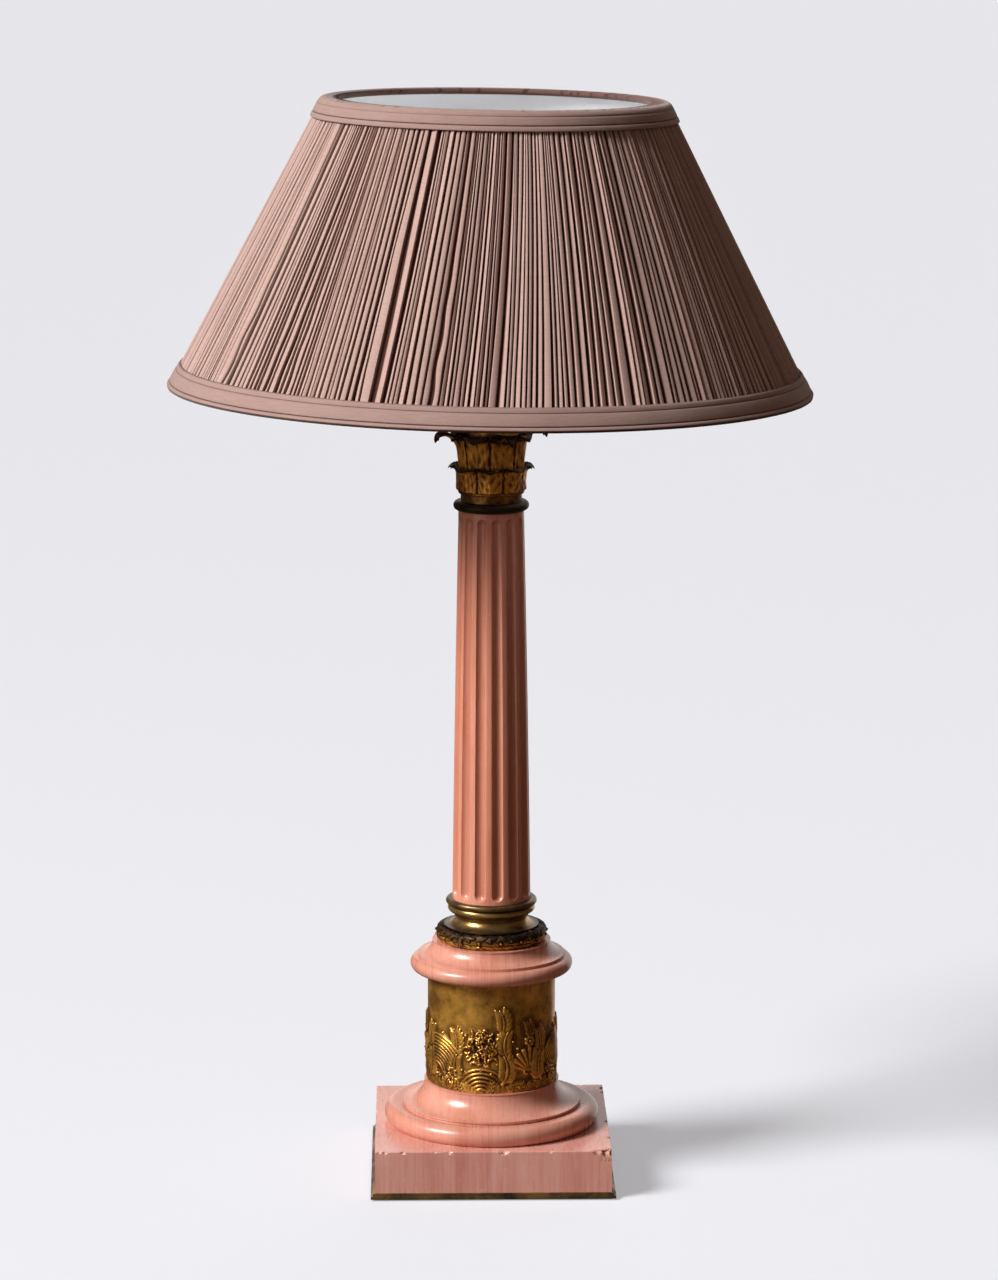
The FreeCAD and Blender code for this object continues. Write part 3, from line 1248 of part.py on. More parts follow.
turned(bulb_contact, [
    ("0", "0"),
    ("Sizes.BulbContactRadius", "0"),
    ("Sizes.BulbContactRadius", "Sizes.BulbContactHeight"),
    ("Sizes.BulbCapRadius - Sizes.BulbInsulatorInset", cap_foot),
    ("0", cap_foot),
])

doc.recompute()
failed = [item.Label for item in doc.Objects if "Invalid" in item.State or "Error" in item.State]
for item in NODES:
    if item.Shape.isNull() or not item.Shape.isValid():
        failed.append(item.Label)
if failed:
    raise RuntimeError("These objects failed: " + ", ".join(failed))
os.makedirs("parts", exist_ok=True)
for item in NODES:
    item.Shape.exportStep("parts/%s.step" % item.Label)
    box = item.Shape.BoundBox
    print("%-20s solids %d  volume %10.1f  z %.1f to %.1f" % (
        item.Label, len(item.Shape.Solids), item.Shape.Volume, box.ZMin, box.ZMax))
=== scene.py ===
import json
import math

import bpy
import numpy as np
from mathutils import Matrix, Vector


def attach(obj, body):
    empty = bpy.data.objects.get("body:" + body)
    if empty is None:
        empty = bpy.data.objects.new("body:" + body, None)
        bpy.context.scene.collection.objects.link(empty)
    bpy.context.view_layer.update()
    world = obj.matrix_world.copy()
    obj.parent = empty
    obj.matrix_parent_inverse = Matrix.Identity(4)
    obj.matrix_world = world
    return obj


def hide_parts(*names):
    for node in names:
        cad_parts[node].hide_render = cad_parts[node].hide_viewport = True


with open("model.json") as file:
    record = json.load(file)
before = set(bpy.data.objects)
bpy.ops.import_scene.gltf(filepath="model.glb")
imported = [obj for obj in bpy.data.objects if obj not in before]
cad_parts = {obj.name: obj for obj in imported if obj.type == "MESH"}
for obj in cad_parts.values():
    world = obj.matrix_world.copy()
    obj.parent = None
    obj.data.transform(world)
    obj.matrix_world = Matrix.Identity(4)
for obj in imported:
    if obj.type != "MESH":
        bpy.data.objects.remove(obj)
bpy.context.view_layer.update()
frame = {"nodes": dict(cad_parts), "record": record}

# Sizes of the lamp are in millimetres, or in metres where MM is applied. Those of the stage, the
# lights and the camera are in metres. Angles are in radians.
MM = 0.001
TAU = math.tau
UP = math.pi / 2


def colour(red, green, blue):
    """A colour given as 0 to 255 on a screen, in linear light."""
    linear = []
    for value in (red, green, blue):
        share = value / 255
        linear.append(share / 12.92 if share <= 0.04045 else ((share + 0.055) / 1.055) ** 2.4)
    return (*linear, 1.0)


def darker(shade, share):
    """A share of a colour in linear light."""
    return (*(share * part for part in shade[:3]), 1.0)


# Node trees

class Tree:
    """A material's node tree with short calls for the nodes that recur."""

    def __init__(self, name):
        self.material = bpy.data.materials.new(name)
        self.material.use_nodes = True
        self.nodes = self.material.node_tree.nodes
        self.links = self.material.node_tree.links
        self.shader = self.nodes["Principled BSDF"]
        self.place = self.nodes.new("ShaderNodeTexCoord").outputs["Object"]

    def put(self, socket, value):
        if isinstance(value, bpy.types.NodeSocket):
            self.links.new(value, socket)
        else:
            socket.default_value = value

    def fill(self, node, inputs):
        for name, value in inputs.items():
            self.put(node.inputs[name.replace("_", " ")], value)

    def node(self, kind, **inputs):
        made = self.nodes.new(kind)
        self.fill(made, inputs)
        return made

    def noise(self, scale, place=None, detail=4.0, roughness=0.55, distortion=0.0):
        made = self.node("ShaderNodeTexNoise", Vector=place or self.place, Scale=scale,
                         Detail=detail, Roughness=roughness, Distortion=distortion)
        return made.outputs["Fac"]

    def stretched(self, scale, **look):
        """Noise whose scale differs by axis."""
        place = self.node("ShaderNodeMapping", Vector=self.place, Scale=scale).outputs["Vector"]
        return self.noise(1.0, place, **look)

    def cavity(self):
        made = self.nodes.new("ShaderNodeAttribute")
        made.attribute_name = "cavity"
        return made.outputs["Fac"]

    def sums(self, kind, first, second, clamp=False):
        made = self.nodes.new("ShaderNodeMath")
        made.operation = kind
        made.use_clamp = clamp
        for socket, value in zip(made.inputs, (first, second)):
            self.put(socket, value)
        return made.outputs[0]

    def spread(self, value, low, high, to_low=0.0, to_high=1.0):
        made = self.node("ShaderNodeMapRange", Value=value, From_Min=low, From_Max=high,
                         To_Min=to_low, To_Max=to_high)
        return made.outputs["Result"]

    def ramp(self, value, *stops):
        made = self.node("ShaderNodeValToRGB", Fac=value)
        points = made.color_ramp.elements
        while len(points) < len(stops):
            points.new(0.5)
        for point, (where, shade) in zip(points, stops):
            point.position = where
            point.color = shade
        return made.outputs["Color"]

    def mix(self, share, first, second):
        made = self.nodes.new("ShaderNodeMix")
        made.data_type = "RGBA"
        for place, value in ((0, share), (6, first), (7, second)):
            self.put(made.inputs[place], value)
        return made.outputs[2]

    def bump(self, height, depth, strength):
        made = self.node("ShaderNodeBump", Height=height, Distance=depth, Strength=strength)
        self.links.new(made.outputs["Normal"], self.shader.inputs["Normal"])

    def finish(self, **inputs):
        self.fill(self.shader, inputs)
        return self.material


# Materials

def stone(name, deep, middle, pale, wear_and_shade=None, wear_and_shade_share=1.0):
    """Laminated pink stone: fine soft streaks that stand on edge across X, over broad faint bands.

    The cavity attribute turns the stone to a second colour: painted shade in the column's flutes, and
    the paler broken stone of the plinth's chips.
    """
    tree = Tree(name)
    bands = tree.stretched((70, 12, 7), roughness=0.6)
    streaks = tree.stretched((520, 46, 18), detail=5, roughness=0.7)
    fibres = tree.stretched((1500, 160, 60), detail=3, roughness=0.7)
    clouds = tree.noise(55.0, detail=5, roughness=0.6)
    flecks = tree.noise(420.0, detail=2)
    body = tree.ramp(tree.spread(bands, 0.30, 0.70), (0.0, deep), (0.5, middle), (1.0, pale))
    calm = tree.mix(tree.spread(clouds, 0.35, 0.65, 0.25, 0.75), body, middle)
    lined = tree.mix(tree.spread(streaks, 0.40, 0.68, 0.0, 0.42), calm, pale)
    marked = tree.mix(tree.spread(fibres, 0.52, 0.74, 0.0, 0.36), lined, deep)
    spotted = tree.mix(tree.spread(flecks, 0.66, 0.73, 0.0, 0.6), marked, pale)
    # Painted shade in the column's flutes; on the plinth, the real colour of chipped stone
    if wear_and_shade:
        hollow = tree.sums("MULTIPLY", tree.cavity(), wear_and_shade_share)
        spotted = tree.mix(hollow, spotted, wear_and_shade)
    tree.bump(tree.sums("ADD", tree.sums("MULTIPLY", fibres, 0.5), streaks), 0.03 * MM, 0.3)
    return tree.finish(Base_Color=spotted, Roughness=tree.spread(streaks, 0.3, 0.7, 0.24, 0.34),
                       Specular_IOR_Level=0.4, Coat_Weight=0.2, Coat_Roughness=0.16)


def bronze(name, gilt, brown, black, wear=0.5, rough=(0.30, 0.52), hollows=False, spots=0.7,
           blotched=0.58):
    """Cast bronze: gilding left on the high places, brown and black patina in the low ones.

    With hollows the cavity attribute says where the low places are, and blotched how much of the
    patina lies anywhere besides.
    """
    tree = Tree(name)
    blotches = tree.noise(48.0, detail=7, roughness=0.66)
    stains = tree.noise(190.0, roughness=0.6, distortion=0.6)
    specks = tree.noise(620.0, detail=3, roughness=0.6)
    cast = tree.noise(1500.0, detail=2)
    patina = tree.spread(blotches, wear - 0.11, wear + 0.13)
    if hollows:
        patina = tree.sums("ADD", tree.sums("MULTIPLY", patina, blotched), tree.cavity(),
                           clamp=True)
    shade = tree.ramp(patina, (0.0, gilt), (0.5, brown), (1.0, black))
    stained = tree.mix(tree.spread(stains, 0.56, 0.70, 0.0, spots), shade, brown)
    spotted = tree.mix(tree.spread(specks, 0.60, 0.72, 0.0, spots), stained, black)
    tree.bump(tree.sums("ADD", tree.sums("MULTIPLY", cast, 0.4), specks), 0.12 * MM, 0.5)
    return tree.finish(Base_Color=spotted, Metallic=0.72,
                       Roughness=tree.spread(patina, 0.0, 1.0, *rough))


def metal(name, shade, roughness):
    """Plain machined metal with faint scratches."""
    tree = Tree(name)
    haze = tree.noise(90.0, detail=5)
    scratches = tree.stretched((160, 160, 2600), detail=2)
    tree.bump(scratches, 0.02 * MM, 0.3)
    tint = tree.mix(tree.spread(haze, 0.4, 0.7, 0.0, 0.3), shade, darker(shade, 0.6))
    return tree.finish(Base_Color=tint, Metallic=0.95,
                       Roughness=tree.spread(haze, 0.3, 0.7, roughness * 0.8, roughness * 1.3))


# Colour of the painted shade in the gaps between pleats and in the folds of the bindings
SHADOWED_CLOTH = colour(70, 36, 26)


def cloth(name, shade, dark, thread=0.42 * MM):
    """Plain-woven cotton and linen: slubs along both threads, faint cross-weave, painted shade in the
    hollows.
    """
    tree = Tree(name)
    warp = tree.stretched((1 / thread, 1 / thread, 60), detail=2)
    weft = tree.stretched((95, 95, 1 / thread), detail=2)
    fuzz = tree.noise(2400.0, detail=2)
    wash = tree.noise(24.0)
    weave = tree.sums("ADD", warp, weft)
    body = tree.mix(tree.spread(weave, 0.72, 1.28, 0.0, 0.5), shade, dark)
    washed = tree.mix(tree.spread(wash, 0.4, 0.7, 0.0, 0.22), body, dark)
    # Painted shade: the cavity attribute darkens the cloth in the gaps and folds
    with_painted_shade = tree.mix(tree.cavity(), washed, SHADOWED_CLOTH)
    tree.bump(tree.sums("ADD", weave, tree.sums("MULTIPLY", fuzz, 0.4)), 0.10 * MM, 0.7)
    return tree.finish(Base_Color=with_painted_shade, Roughness=0.92, Sheen_Weight=0.25, Sheen_Roughness=0.5,
                       Specular_IOR_Level=0.2)


def plain(name, shade, roughness, grain, depth=0.05 * MM, mottle=0.15):
    """Smooth material with slight mottling: enamel, lining, plastic, felt, porcelain."""
    tree = Tree(name)
    mottled = tree.noise(grain)
    tint = tree.mix(tree.spread(mottled, 0.4, 0.7, 0.0, mottle * 2), shade, darker(shade, 0.8))
    tree.bump(mottled, depth, 0.5)
    return tree.finish(Base_Color=tint, Roughness=roughness)


# The column's second colour is painted shade, laid in its flutes
COLUMN_STONE = stone("column_stone", colour(192, 108, 80), colour(216, 140, 112),
                     colour(228, 164, 142), wear_and_shade=colour(140, 62, 40), wear_and_shade_share=0.35)
MOULDING_STONE = stone("moulding_stone", colour(186, 108, 86), colour(206, 138, 116),
                       colour(222, 164, 146))
PLINTH_STONE = stone("plinth_stone", colour(188, 112, 97), colour(215, 147, 132),
                     colour(235, 184, 171), wear_and_shade=colour(205, 170, 156), wear_and_shade_share=0.6)
GILT = colour(206, 154, 68)
BROWN = colour(122, 82, 34)
BLACK = colour(38, 24, 12)
BRONZE = bronze("gilt_bronze_cast", GILT, BROWN, BLACK)
RELIEF_BRONZE = bronze("gilt_bronze_relief", colour(232, 174, 76), colour(124, 82, 32), BLACK,
                       hollows=True, spots=0.55, blotched=0.43)
LEAF_BRONZE = bronze("gilt_bronze_leaf", colour(246, 180, 72), colour(178, 116, 44), colour(44, 28, 15),
                     hollows=True)
DARK_BRONZE = bronze("dark_bronze_cast", colour(92, 74, 44), colour(52, 42, 26), BLACK, wear=0.42)
RING_BRONZE = bronze("gilt_bronze_turned", colour(206, 166, 98), colour(142, 112, 64),
                     colour(72, 57, 38), rough=(0.20, 0.36), hollows=True, spots=0.4)
PLATE_BRONZE = bronze("plate_bronze", colour(152, 126, 78), colour(112, 92, 58), colour(66, 57, 40),
                      spots=0.3)
BRASS = metal("satin_brass", colour(196, 160, 92), 0.3)
STEEL = metal("plated_steel", colour(176, 176, 178), 0.35)
ALUMINIUM = metal("rolled_aluminium", colour(205, 206, 208), 0.32)
PLEAT_CLOTH = cloth("pleat_cloth", colour(199, 168, 158), colour(162, 127, 117))
TRIM_CLOTH = cloth("trim_cloth", colour(172, 143, 135), colour(139, 107, 99), thread=0.5 * MM)
LINING = plain("white_lining_cloth", colour(240, 241, 244), 0.75, 500.0, mottle=0.05)
ENAMEL = plain("white_enamel", colour(226, 225, 220), 0.35, 200.0)
PORCELAIN = plain("glazed_porcelain", colour(236, 234, 226), 0.12, 120.0, 0.02 * MM, mottle=0.06)
PLASTIC = plain("black_plastic_moulded", colour(38, 38, 38), 0.5, 900.0)
FELT = plain("green_felt", colour(52, 70, 54), 0.98, 1500.0, 0.4 * MM, mottle=0.4)
OPAL = plain("opal_glass_bulb", colour(240, 240, 236), 0.1, 40.0, 0.0, mottle=0.03)

NODE_MATERIALS = {
    "base_felt": FELT,
    "base_plate": PLATE_BRONZE,
    "plinth": PLINTH_STONE,
    "base_moulding": MOULDING_STONE,
    "cornice": MOULDING_STONE,
    "column_shaft": COLUMN_STONE,
    "column_base": RING_BRONZE,
    "astragal_ring": DARK_BRONZE,
    "porcelain_insulator": PORCELAIN,
    "cable_bush": PLASTIC,
    "shade_lining": LINING,
    "bulb_glass": OPAL,
    "bulb_cap": ALUMINIUM,
}
SLOT_MATERIALS = {
    "gilt_bronze": BRONZE,
    "brass": BRASS,
    "steel": STEEL,
    "white_wire": ENAMEL,
    "trim_cloth": TRIM_CLOTH,
    "pleated_cloth": PLEAT_CLOTH,
}


def dress_nodes():
    """Give every carried-over node its material."""
    slots = {part["node"]: part["material_slot"] for part in frame["record"]["subparts"]}
    for name, node in frame["nodes"].items():
        material = NODE_MATERIALS.get(name) or SLOT_MATERIALS[slots[name]]
        node.data.materials.clear()
        node.data.materials.append(material)


# Meshes

SHARP = math.radians(32)


def linked(name, data):
    made = bpy.data.objects.new(name, data)
    bpy.context.scene.collection.objects.link(made)
    return made


def piece(name, node, vertices, faces, cavity, material, body, edged=True):
    """A mesh piece in the place of a node. It rides on a body and takes the given material.

    cavity is 0 to 1 for each vertex, for the material. An edged piece is shaded flat over its
    sharp edges.
    """
    mesh = bpy.data.meshes.new(name)
    mesh.from_pydata([tuple(point) for point in vertices], [], faces)
    mesh.validate()
    mesh.attributes.new("cavity", "FLOAT", "POINT").data.foreach_set("value", cavity.astype(np.float32))
    mesh.polygons.foreach_set("use_smooth", [True] * len(mesh.polygons))
    if edged:
        mesh.set_sharp_from_angle(angle=SHARP)
    mesh.materials.append(material)
    made = linked(name, mesh)
    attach(made, body)
    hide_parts(node)
    return made


def grid_faces(rows, columns, closed=True):
    """Quads of a grid of points whose rows are rings. Closed joins the last row to the first."""
    faces = []
    for row in range(rows if closed else rows - 1):
        start, after = row * columns, (row + 1) % rows * columns
        for column in range(columns):
            beside = (column + 1) % columns
            faces.append((start + column, start + beside, after + beside, after + column))
    return faces


def round_axis(reach, angle, level):
    """Points at a reach from an upright axis. The level may be one for all of them."""
    x = reach * np.cos(angle)
    return np.stack([x, reach * np.sin(angle), np.broadcast_to(level, x.shape)], axis=-1)


# Turned pieces: a corner is (radius, level) or (radius, level, bulge), where the bulge is the
# tangent of a quarter of the angle of the arc to the next corner

ARC_STEP = 6
LATHE_COLUMNS = 180
BORE = 5.2
SPIGOT = 37.8


def node_level(name):
    """Height of the lowest point of a node, in millimetres."""
    node = frame["nodes"][name]
    corners = np.empty(len(node.data.vertices) * 3, np.float32)
    node.data.vertices.foreach_get("co", corners)
    return float(corners[2::3].min()) / MM


def rounded(corners):
    """An outline with its arcs divided every ARC_STEP degrees."""
    points = []
    for place, corner in enumerate(corners):
        start = np.array(corner[:2], float)
        points.append(start)
        if len(corner) < 3:
            continue
        run = np.array(corners[(place + 1) % len(corners)][:2], float) - start
        aside = np.array([run[1], -run[0]])
        half = 2 * math.atan(corner[2])
        count = math.ceil(math.degrees(abs(2 * half)) / ARC_STEP)
        for number in range(1, count):
            angle = half * (2 * number / count - 1)
            share = 0.5 + math.sin(angle) / (2 * math.sin(half))
            bow = (math.cos(angle) - math.cos(half)) / (2 * math.sin(half))
            points.append(start + share * run + bow * aside)
    return np.array(points) * MM


def lathe(node, corners, material, body="base", lift=0.0, dark=((0, 0),)):
    """A node's piece turned about the lamp's axis from its outline.

    lift is from the node's lowest point to the outline's level 0, and dark is (level, patina).
    """
    reaches, levels = rounded(corners).T
    level = node_level(node) + lift
    angles = np.linspace(0, TAU, LATHE_COLUMNS, endpoint=False)
    vertices = round_axis(np.repeat(reaches, LATHE_COLUMNS), np.tile(angles, len(reaches)),
                          np.repeat(levels + level * MM, LATHE_COLUMNS))
    patina = np.repeat(np.interp(levels / MM, *zip(*dark)), LATHE_COLUMNS)
    piece(node + "_turned", node, vertices, grid_faces(len(reaches), LATHE_COLUMNS), patina,
          material, body)


COLUMN_BASE_PATINA = (
    (9.9, 0.9), (11.2, 0.35), (13.5, 0.0), (16.5, 0.15), (18.6, 0.7), (19.2, 0.5), (21.0, 0.0),
    (23.2, 0.35), (23.7, 0.95), (24.4, 0.65), (27.2, 0.55), (27.6, 0.8))


def turned_pieces():
    lathe("base_moulding", [
        (BORE, 0), (65.7, 0, 0.781), (62.7, 12.1), (56.6, 11.4), (56.6, 12.1), (57.3, 12.8),
        (57.3, 13.9, -0.40), (43.05, 27.1), (43.4, 27.2), (43.4, 28.1), (SPIGOT, 28.1), (SPIGOT, 30.1),
        (BORE, 30.1)], MOULDING_STONE)
    lathe("cornice", [
        (BORE, -2), (SPIGOT, -2), (SPIGOT, 0), (43.8, 0), (43.8, 1.5), (47.6, 1.5, 0.97), (47.6, 10.8),
        (47.0, 10.8), (47.0, 12.7, -0.36), (37.7, 20.4), (38.0, 20.5), (38.0, 21.3), (BORE, 21.3)],
        MOULDING_STONE, lift=2)
    lathe("column_base", [
        (BORE, 0), (25.9, 0), (25.9, 10.0), (30.4, 10.0), (30.4, 10.7, -0.40), (23.1, 14.9, -0.15),
        (25.75, 18.8, 0.9), (25.75, 23.7), (27.45, 23.7, 0.9), (27.45, 27.6), (25.4, 27.6),
        (25.4, 22.2), (BORE, 22.2)], RING_BRONZE, dark=COLUMN_BASE_PATINA)
    lathe("astragal_ring", [
        (BORE, 0), (21.1, 0, 0.97), (21.1, 6), (BORE, 6)], DARK_BRONZE)
    lathe("capital_bell", [
        (BORE, 0), (19.4, 0), (19.4, 4.6), (19.95, 4.6, 0.9), (19.95, 6.9), (19.1, 6.9), (19.1, 22.5),
        (20.6, 45.9), (16.6, 45.9), (15.1, 22.5), (15.1, 4), (BORE, 4)], BRONZE)
    lathe("neck_cap", [
        (BORE, 0), (14, 0), (14, 1.5, -0.36), (8.5, 7), (BORE, 7)], BRASS)
    lathe("bulb_glass", [
        (0.05, 28), (12.1, 28), (12.1, 30), (14.6, 31, -0.15), (28.2, 63.8, 0.075), (30, 74, 0.4),
        (1, 104), (0.05, 104)], OPAL, "bulb", lift=-28)


# Fluted column

COLUMN_FOOT = 25.2
FLUTES = 14
FLUTE_TURN = math.radians(-4.8)
FLUTE_HALF = math.radians(9)
FLUTE_DEPTH = 2.5
# Radius of the round cutter that makes a flute of that depth and width at the foot
FLUTE_CUTTER = ((COLUMN_FOOT * math.sin(FLUTE_HALF)) ** 2 + FLUTE_DEPTH ** 2) / (2 * FLUTE_DEPTH)
COLUMN_HEAD = 20.8
COLUMN_HEIGHT = 257.0
COLUMN_SWELL = 0.35
COLUMN_BORE = 7.0
COLUMN_CHAMFER = 0.35
FLUTE_START = 11.5
FLUTE_END = 6.8
FLUTE_ROWS = 60
FLUTE_SAMPLES = 17
LAND_SAMPLES = 6
ARRIS_WEAR = 0.06


def fluted_column():
    """Grid of the shaft, with rows close at the flutes' round ends and columns at their arrises."""
    low, high = FLUTE_START, COLUMN_HEIGHT - FLUTE_END
    ends = 4.4 * (1 - np.cos(np.linspace(0, UP, 14)))
    levels = np.concatenate([
        [0.0, COLUMN_CHAMFER], low - 3.97 + ends * 0.9, np.linspace(low, high, FLUTE_ROWS),
        high + 3.3 - ends[::-1] * 0.75, [COLUMN_HEIGHT - COLUMN_CHAMFER, COLUMN_HEIGHT]])
    levels = np.unique(np.round(levels, 4))
    samples = np.linspace(-1, 1, FLUTE_SAMPLES)
    pitch = TAU / FLUTES
    points, hollow = [], []
    for level in levels:
        share = level / COLUMN_HEIGHT
        swell = 4 * COLUMN_SWELL * share * (1 - share)
        radius = COLUMN_FOOT + (COLUMN_HEAD - COLUMN_FOOT) * share + swell
        scale = radius / COLUMN_FOOT
        cutter = FLUTE_CUTTER * scale
        centre = radius - FLUTE_DEPTH * scale + cutter
        past = max(low - level, level - high, 0)
        reach = math.sqrt(max(cutter ** 2 - past ** 2, 0))
        cuts = centre - reach < radius
        half = FLUTE_HALF
        if cuts:
            half = math.acos((radius ** 2 + centre ** 2 - reach ** 2) / (2 * radius * centre))
        edge = COLUMN_CHAMFER * MM if level in (levels[0], levels[-1]) else 0.0
        offsets = samples * half
        depths = np.full(FLUTE_SAMPLES, radius)
        if cuts:
            depths = centre * np.cos(offsets) - np.sqrt(np.maximum(
                reach ** 2 - (centre * np.sin(offsets)) ** 2, 0))
        depths[0] = depths[-1] = radius - ARRIS_WEAR
        land = np.linspace(half, pitch - half, LAND_SAMPLES)[1:-1]
        offsets = np.concatenate([offsets, land])
        depths = np.concatenate([depths, np.full(len(land), radius)])
        turns = np.concatenate([offsets + number * pitch + FLUTE_TURN for number in range(FLUTES)])
        points.append(np.stack([turns, np.tile(depths * MM - edge, FLUTES)], axis=1))
        # Painted shade: darker the deeper the flute
        hollow.append(np.tile(np.clip((radius - depths) / FLUTE_DEPTH, 0, 1), FLUTES))
    columns = len(points[0])
    bore = np.stack([points[0][:, 0], np.full(columns, COLUMN_BORE * MM)], axis=1)
    points += [bore, bore]
    hollow.append(np.zeros(2 * columns))
    heights = np.repeat(np.concatenate([levels, [COLUMN_HEIGHT, 0]]), columns) * MM
    turns, reaches = np.concatenate(points).T
    vertices = round_axis(reaches, turns, heights + node_level("column_shaft") * MM)
    piece("column_fluted", "column_shaft", vertices, grid_faces(len(levels) + 2, columns),
          np.concatenate(hollow), COLUMN_STONE, "base")


# Cast ornament: a height field over a surface that is unrolled to a sheet

STROKE_GAP = 0.35
LEAF_STEPS = 8


def moved(point, reach, angle):
    return point[0] + reach * math.cos(angle), point[1] + reach * math.sin(angle)


class Relief:
    """Heights over a sheet that closes on itself across its width."""

    def __init__(self, width, height, step):
        self.width = width
        self.columns = round(width / step)
        self.rows = round(height / step) + 1
        self.across = width / self.columns
        self.along = height / (self.rows - 1)
        self.heights = np.zeros((self.rows, self.columns))

    def dab(self, x, y, radius, height, flat=0.5):
        """Raise a round boss, at least as high as what is there."""
        reach_x = int(radius / self.across) + 1
        reach_y = int(radius / self.along) + 1
        middle_x, middle_y = round(x / self.across), round(y / self.along)
        rows = np.arange(max(middle_y - reach_y, 0), min(middle_y + reach_y + 1, self.rows))
        if not len(rows):
            return
        columns = np.arange(middle_x - reach_x, middle_x + reach_x + 1)
        away = (columns[None, :] * self.across - x) ** 2 + (rows[:, None] * self.along - y) ** 2
        boss = height * np.clip(1 - away / radius ** 2, 0, 1) ** flat
        place = np.ix_(rows, columns % self.columns)
        self.heights[place] = np.maximum(self.heights[place], boss)

    def stroke(self, points, radii, heights):
        """Sweep a boss along a line of points, with its radius and height eased along it."""
        points = np.array(points, float)
        steps = np.hypot(*np.diff(points, axis=0).T)
        total = steps.sum()
        shares = np.concatenate([[0], np.cumsum(steps)]) / total
        for share in np.linspace(0, 1, max(int(total / STROKE_GAP), 2)):
            x = np.interp(share, shares, points[:, 0])
            y = np.interp(share, shares, points[:, 1])
            radius = np.interp(share, np.linspace(0, 1, len(radii)), radii)
            height = np.interp(share, np.linspace(0, 1, len(heights)), heights)
            self.dab(x, y, radius, height)

    def leaf(self, x, y, direction, length, width, height, lobes=4, bend=0.6):
        """An acanthus leaf: a bent midrib with lobes that point forward on both sides."""
        shares = np.linspace(0, 1, LEAF_STEPS + 1)
        turns = direction + bend * shares
        rib_x = x + np.concatenate([[0], np.cumsum(np.cos(turns[:-1]))]) * length / LEAF_STEPS
        rib_y = y + np.concatenate([[0], np.cumsum(np.sin(turns[:-1]))]) * length / LEAF_STEPS
        for number in range(lobes):
            share = 0.12 + 0.72 * number / lobes
            start = np.interp(share, shares, rib_x), np.interp(share, shares, rib_y)
            heading = direction + bend * share
            span = width * math.sin(math.pi * (0.25 + 0.6 * share)) * 0.9
            for side in (-1, 1):
                turn = heading + side * (0.95 - 0.45 * share)
                middle = moved(start, span * 0.6, turn)
                end = moved(middle, span * 0.5, turn - side * 0.35)
                self.stroke([start, middle, end], [width * 0.20, width * 0.27, width * 0.10],
                            [height * 0.55, height * 0.85, height * 0.6])
        self.stroke(list(zip(rib_x, rib_y)), [width * 0.13, width * 0.13, width * 0.08],
                    [height * 0.7, height, height * 0.9])

    def rosette(self, x, y, radius, height, petals=6, turn=0.0):
        for number in range(petals):
            angle = turn + TAU * number / petals
            self.dab(*moved((x, y), radius * 0.62, angle), radius * 0.40, height * 0.85)
        self.dab(x, y, radius * 0.30, height * 1.15)

    def blurred(self, field, reach):
        """Mean over a square of points, wrapping across the width."""
        for axis, mode in ((1, "wrap"), (0, "edge")):
            margins = [(reach, reach) if place == axis else (0, 0) for place in (0, 1)]
            sums = np.cumsum(np.pad(field, margins, mode), axis=axis)
            sums = np.insert(sums, 0, 0, axis=axis)
            size = 2 * reach + 1
            upper = np.take(sums, range(size, sums.shape[axis]), axis=axis)
            lower = np.take(sums, range(sums.shape[axis] - size), axis=axis)
            field = (upper - lower) / size
        return field

    def cavity(self, depth, reach):
        """0 on high places to 1 in the narrow low ones, for the patina."""
        low = self.blurred(self.heights, reach) - self.heights
        return np.clip(low / depth, 0, 1)


def relief_piece(node, relief, surface, low_places, behind=()):
    """Mesh of a height field on a surface(x, y, height), closed by the (y, height) rows behind it."""
    x = np.arange(relief.columns) * relief.across
    grid_x, grid_y = np.meshgrid(x, np.arange(relief.rows) * relief.along)
    points = [surface(grid_x, grid_y, relief.heights).reshape(-1, 3)]
    points += [surface(x, y, height) for y, height in behind]
    shades = np.concatenate([low_places.ravel(), np.zeros(len(behind) * relief.columns)])
    piece(node + "_cast", node, np.concatenate(points) * MM,
          grid_faces(relief.rows + len(behind), relief.columns), shades, RELIEF_BRONZE, "base",
          edged=False)


DRUM_RADIUS = 41.0
DRUM_INNER = 38.0
DRUM_HEIGHT = 70.6
RELIEF_STEP = 0.30
SHELL_RIBS = 9
FRIEZE_UNITS = ("scroll", "bush", "waves", "shell", "scroll", "waves", "bush", "shell", "waves")


def scroll(relief, x, y, reach, facing, chance):
    """A spiral stem with leaves on its outside and a rosette in its eye."""
    turns = np.linspace(0, 1.4 * TAU, 44)
    reaches = reach * (1 - 0.70 * (turns / turns[-1]) ** 0.8)
    angles = -UP + turns
    stem_x = x + facing * reaches * np.cos(angles)
    stem_y = y + reaches * np.sin(angles)
    for place in range(2, 36, 5):
        heading = math.atan2(*(stem[place + 1] - stem[place] for stem in (stem_y, stem_x)))
        heading -= facing * 0.7
        size = reaches[place] * 0.75 + 2.5
        relief.leaf(stem_x[place], stem_y[place], heading + chance.normal(0, 0.15), size, size * 0.60,
                    1.3 + 0.5 * chance.random(), bend=facing)
    relief.stroke(list(zip(stem_x, stem_y)), [2.1, 1.7, 1.0], [1.4, 1.9, 1.4])
    relief.rosette(x, y, reach * 0.28, 1.9, turn=chance.uniform(0, 1))


def bush(relief, x, y, reach, chance):
    """A clump of small curled leaves."""
    for _ in range(int(reach * 8)):
        angle = chance.uniform(0, TAU)
        away = math.sqrt(chance.random())
        middle = x + 0.85 * reach * away * math.cos(angle), y + reach * away * math.sin(angle)
        turn, bend = chance.uniform(0, TAU), chance.uniform(-1.3, 1.3)
        curl = [moved(middle, 1.1 * step, turn + bend * step / 3) for step in range(4)]
        tall = 1.0 + 1.1 * (1 - away) + chance.uniform(-0.2, 0.4)
        relief.stroke(curl, [0.7, 0.95, 0.45], [tall * 0.6, tall, tall * 0.7])


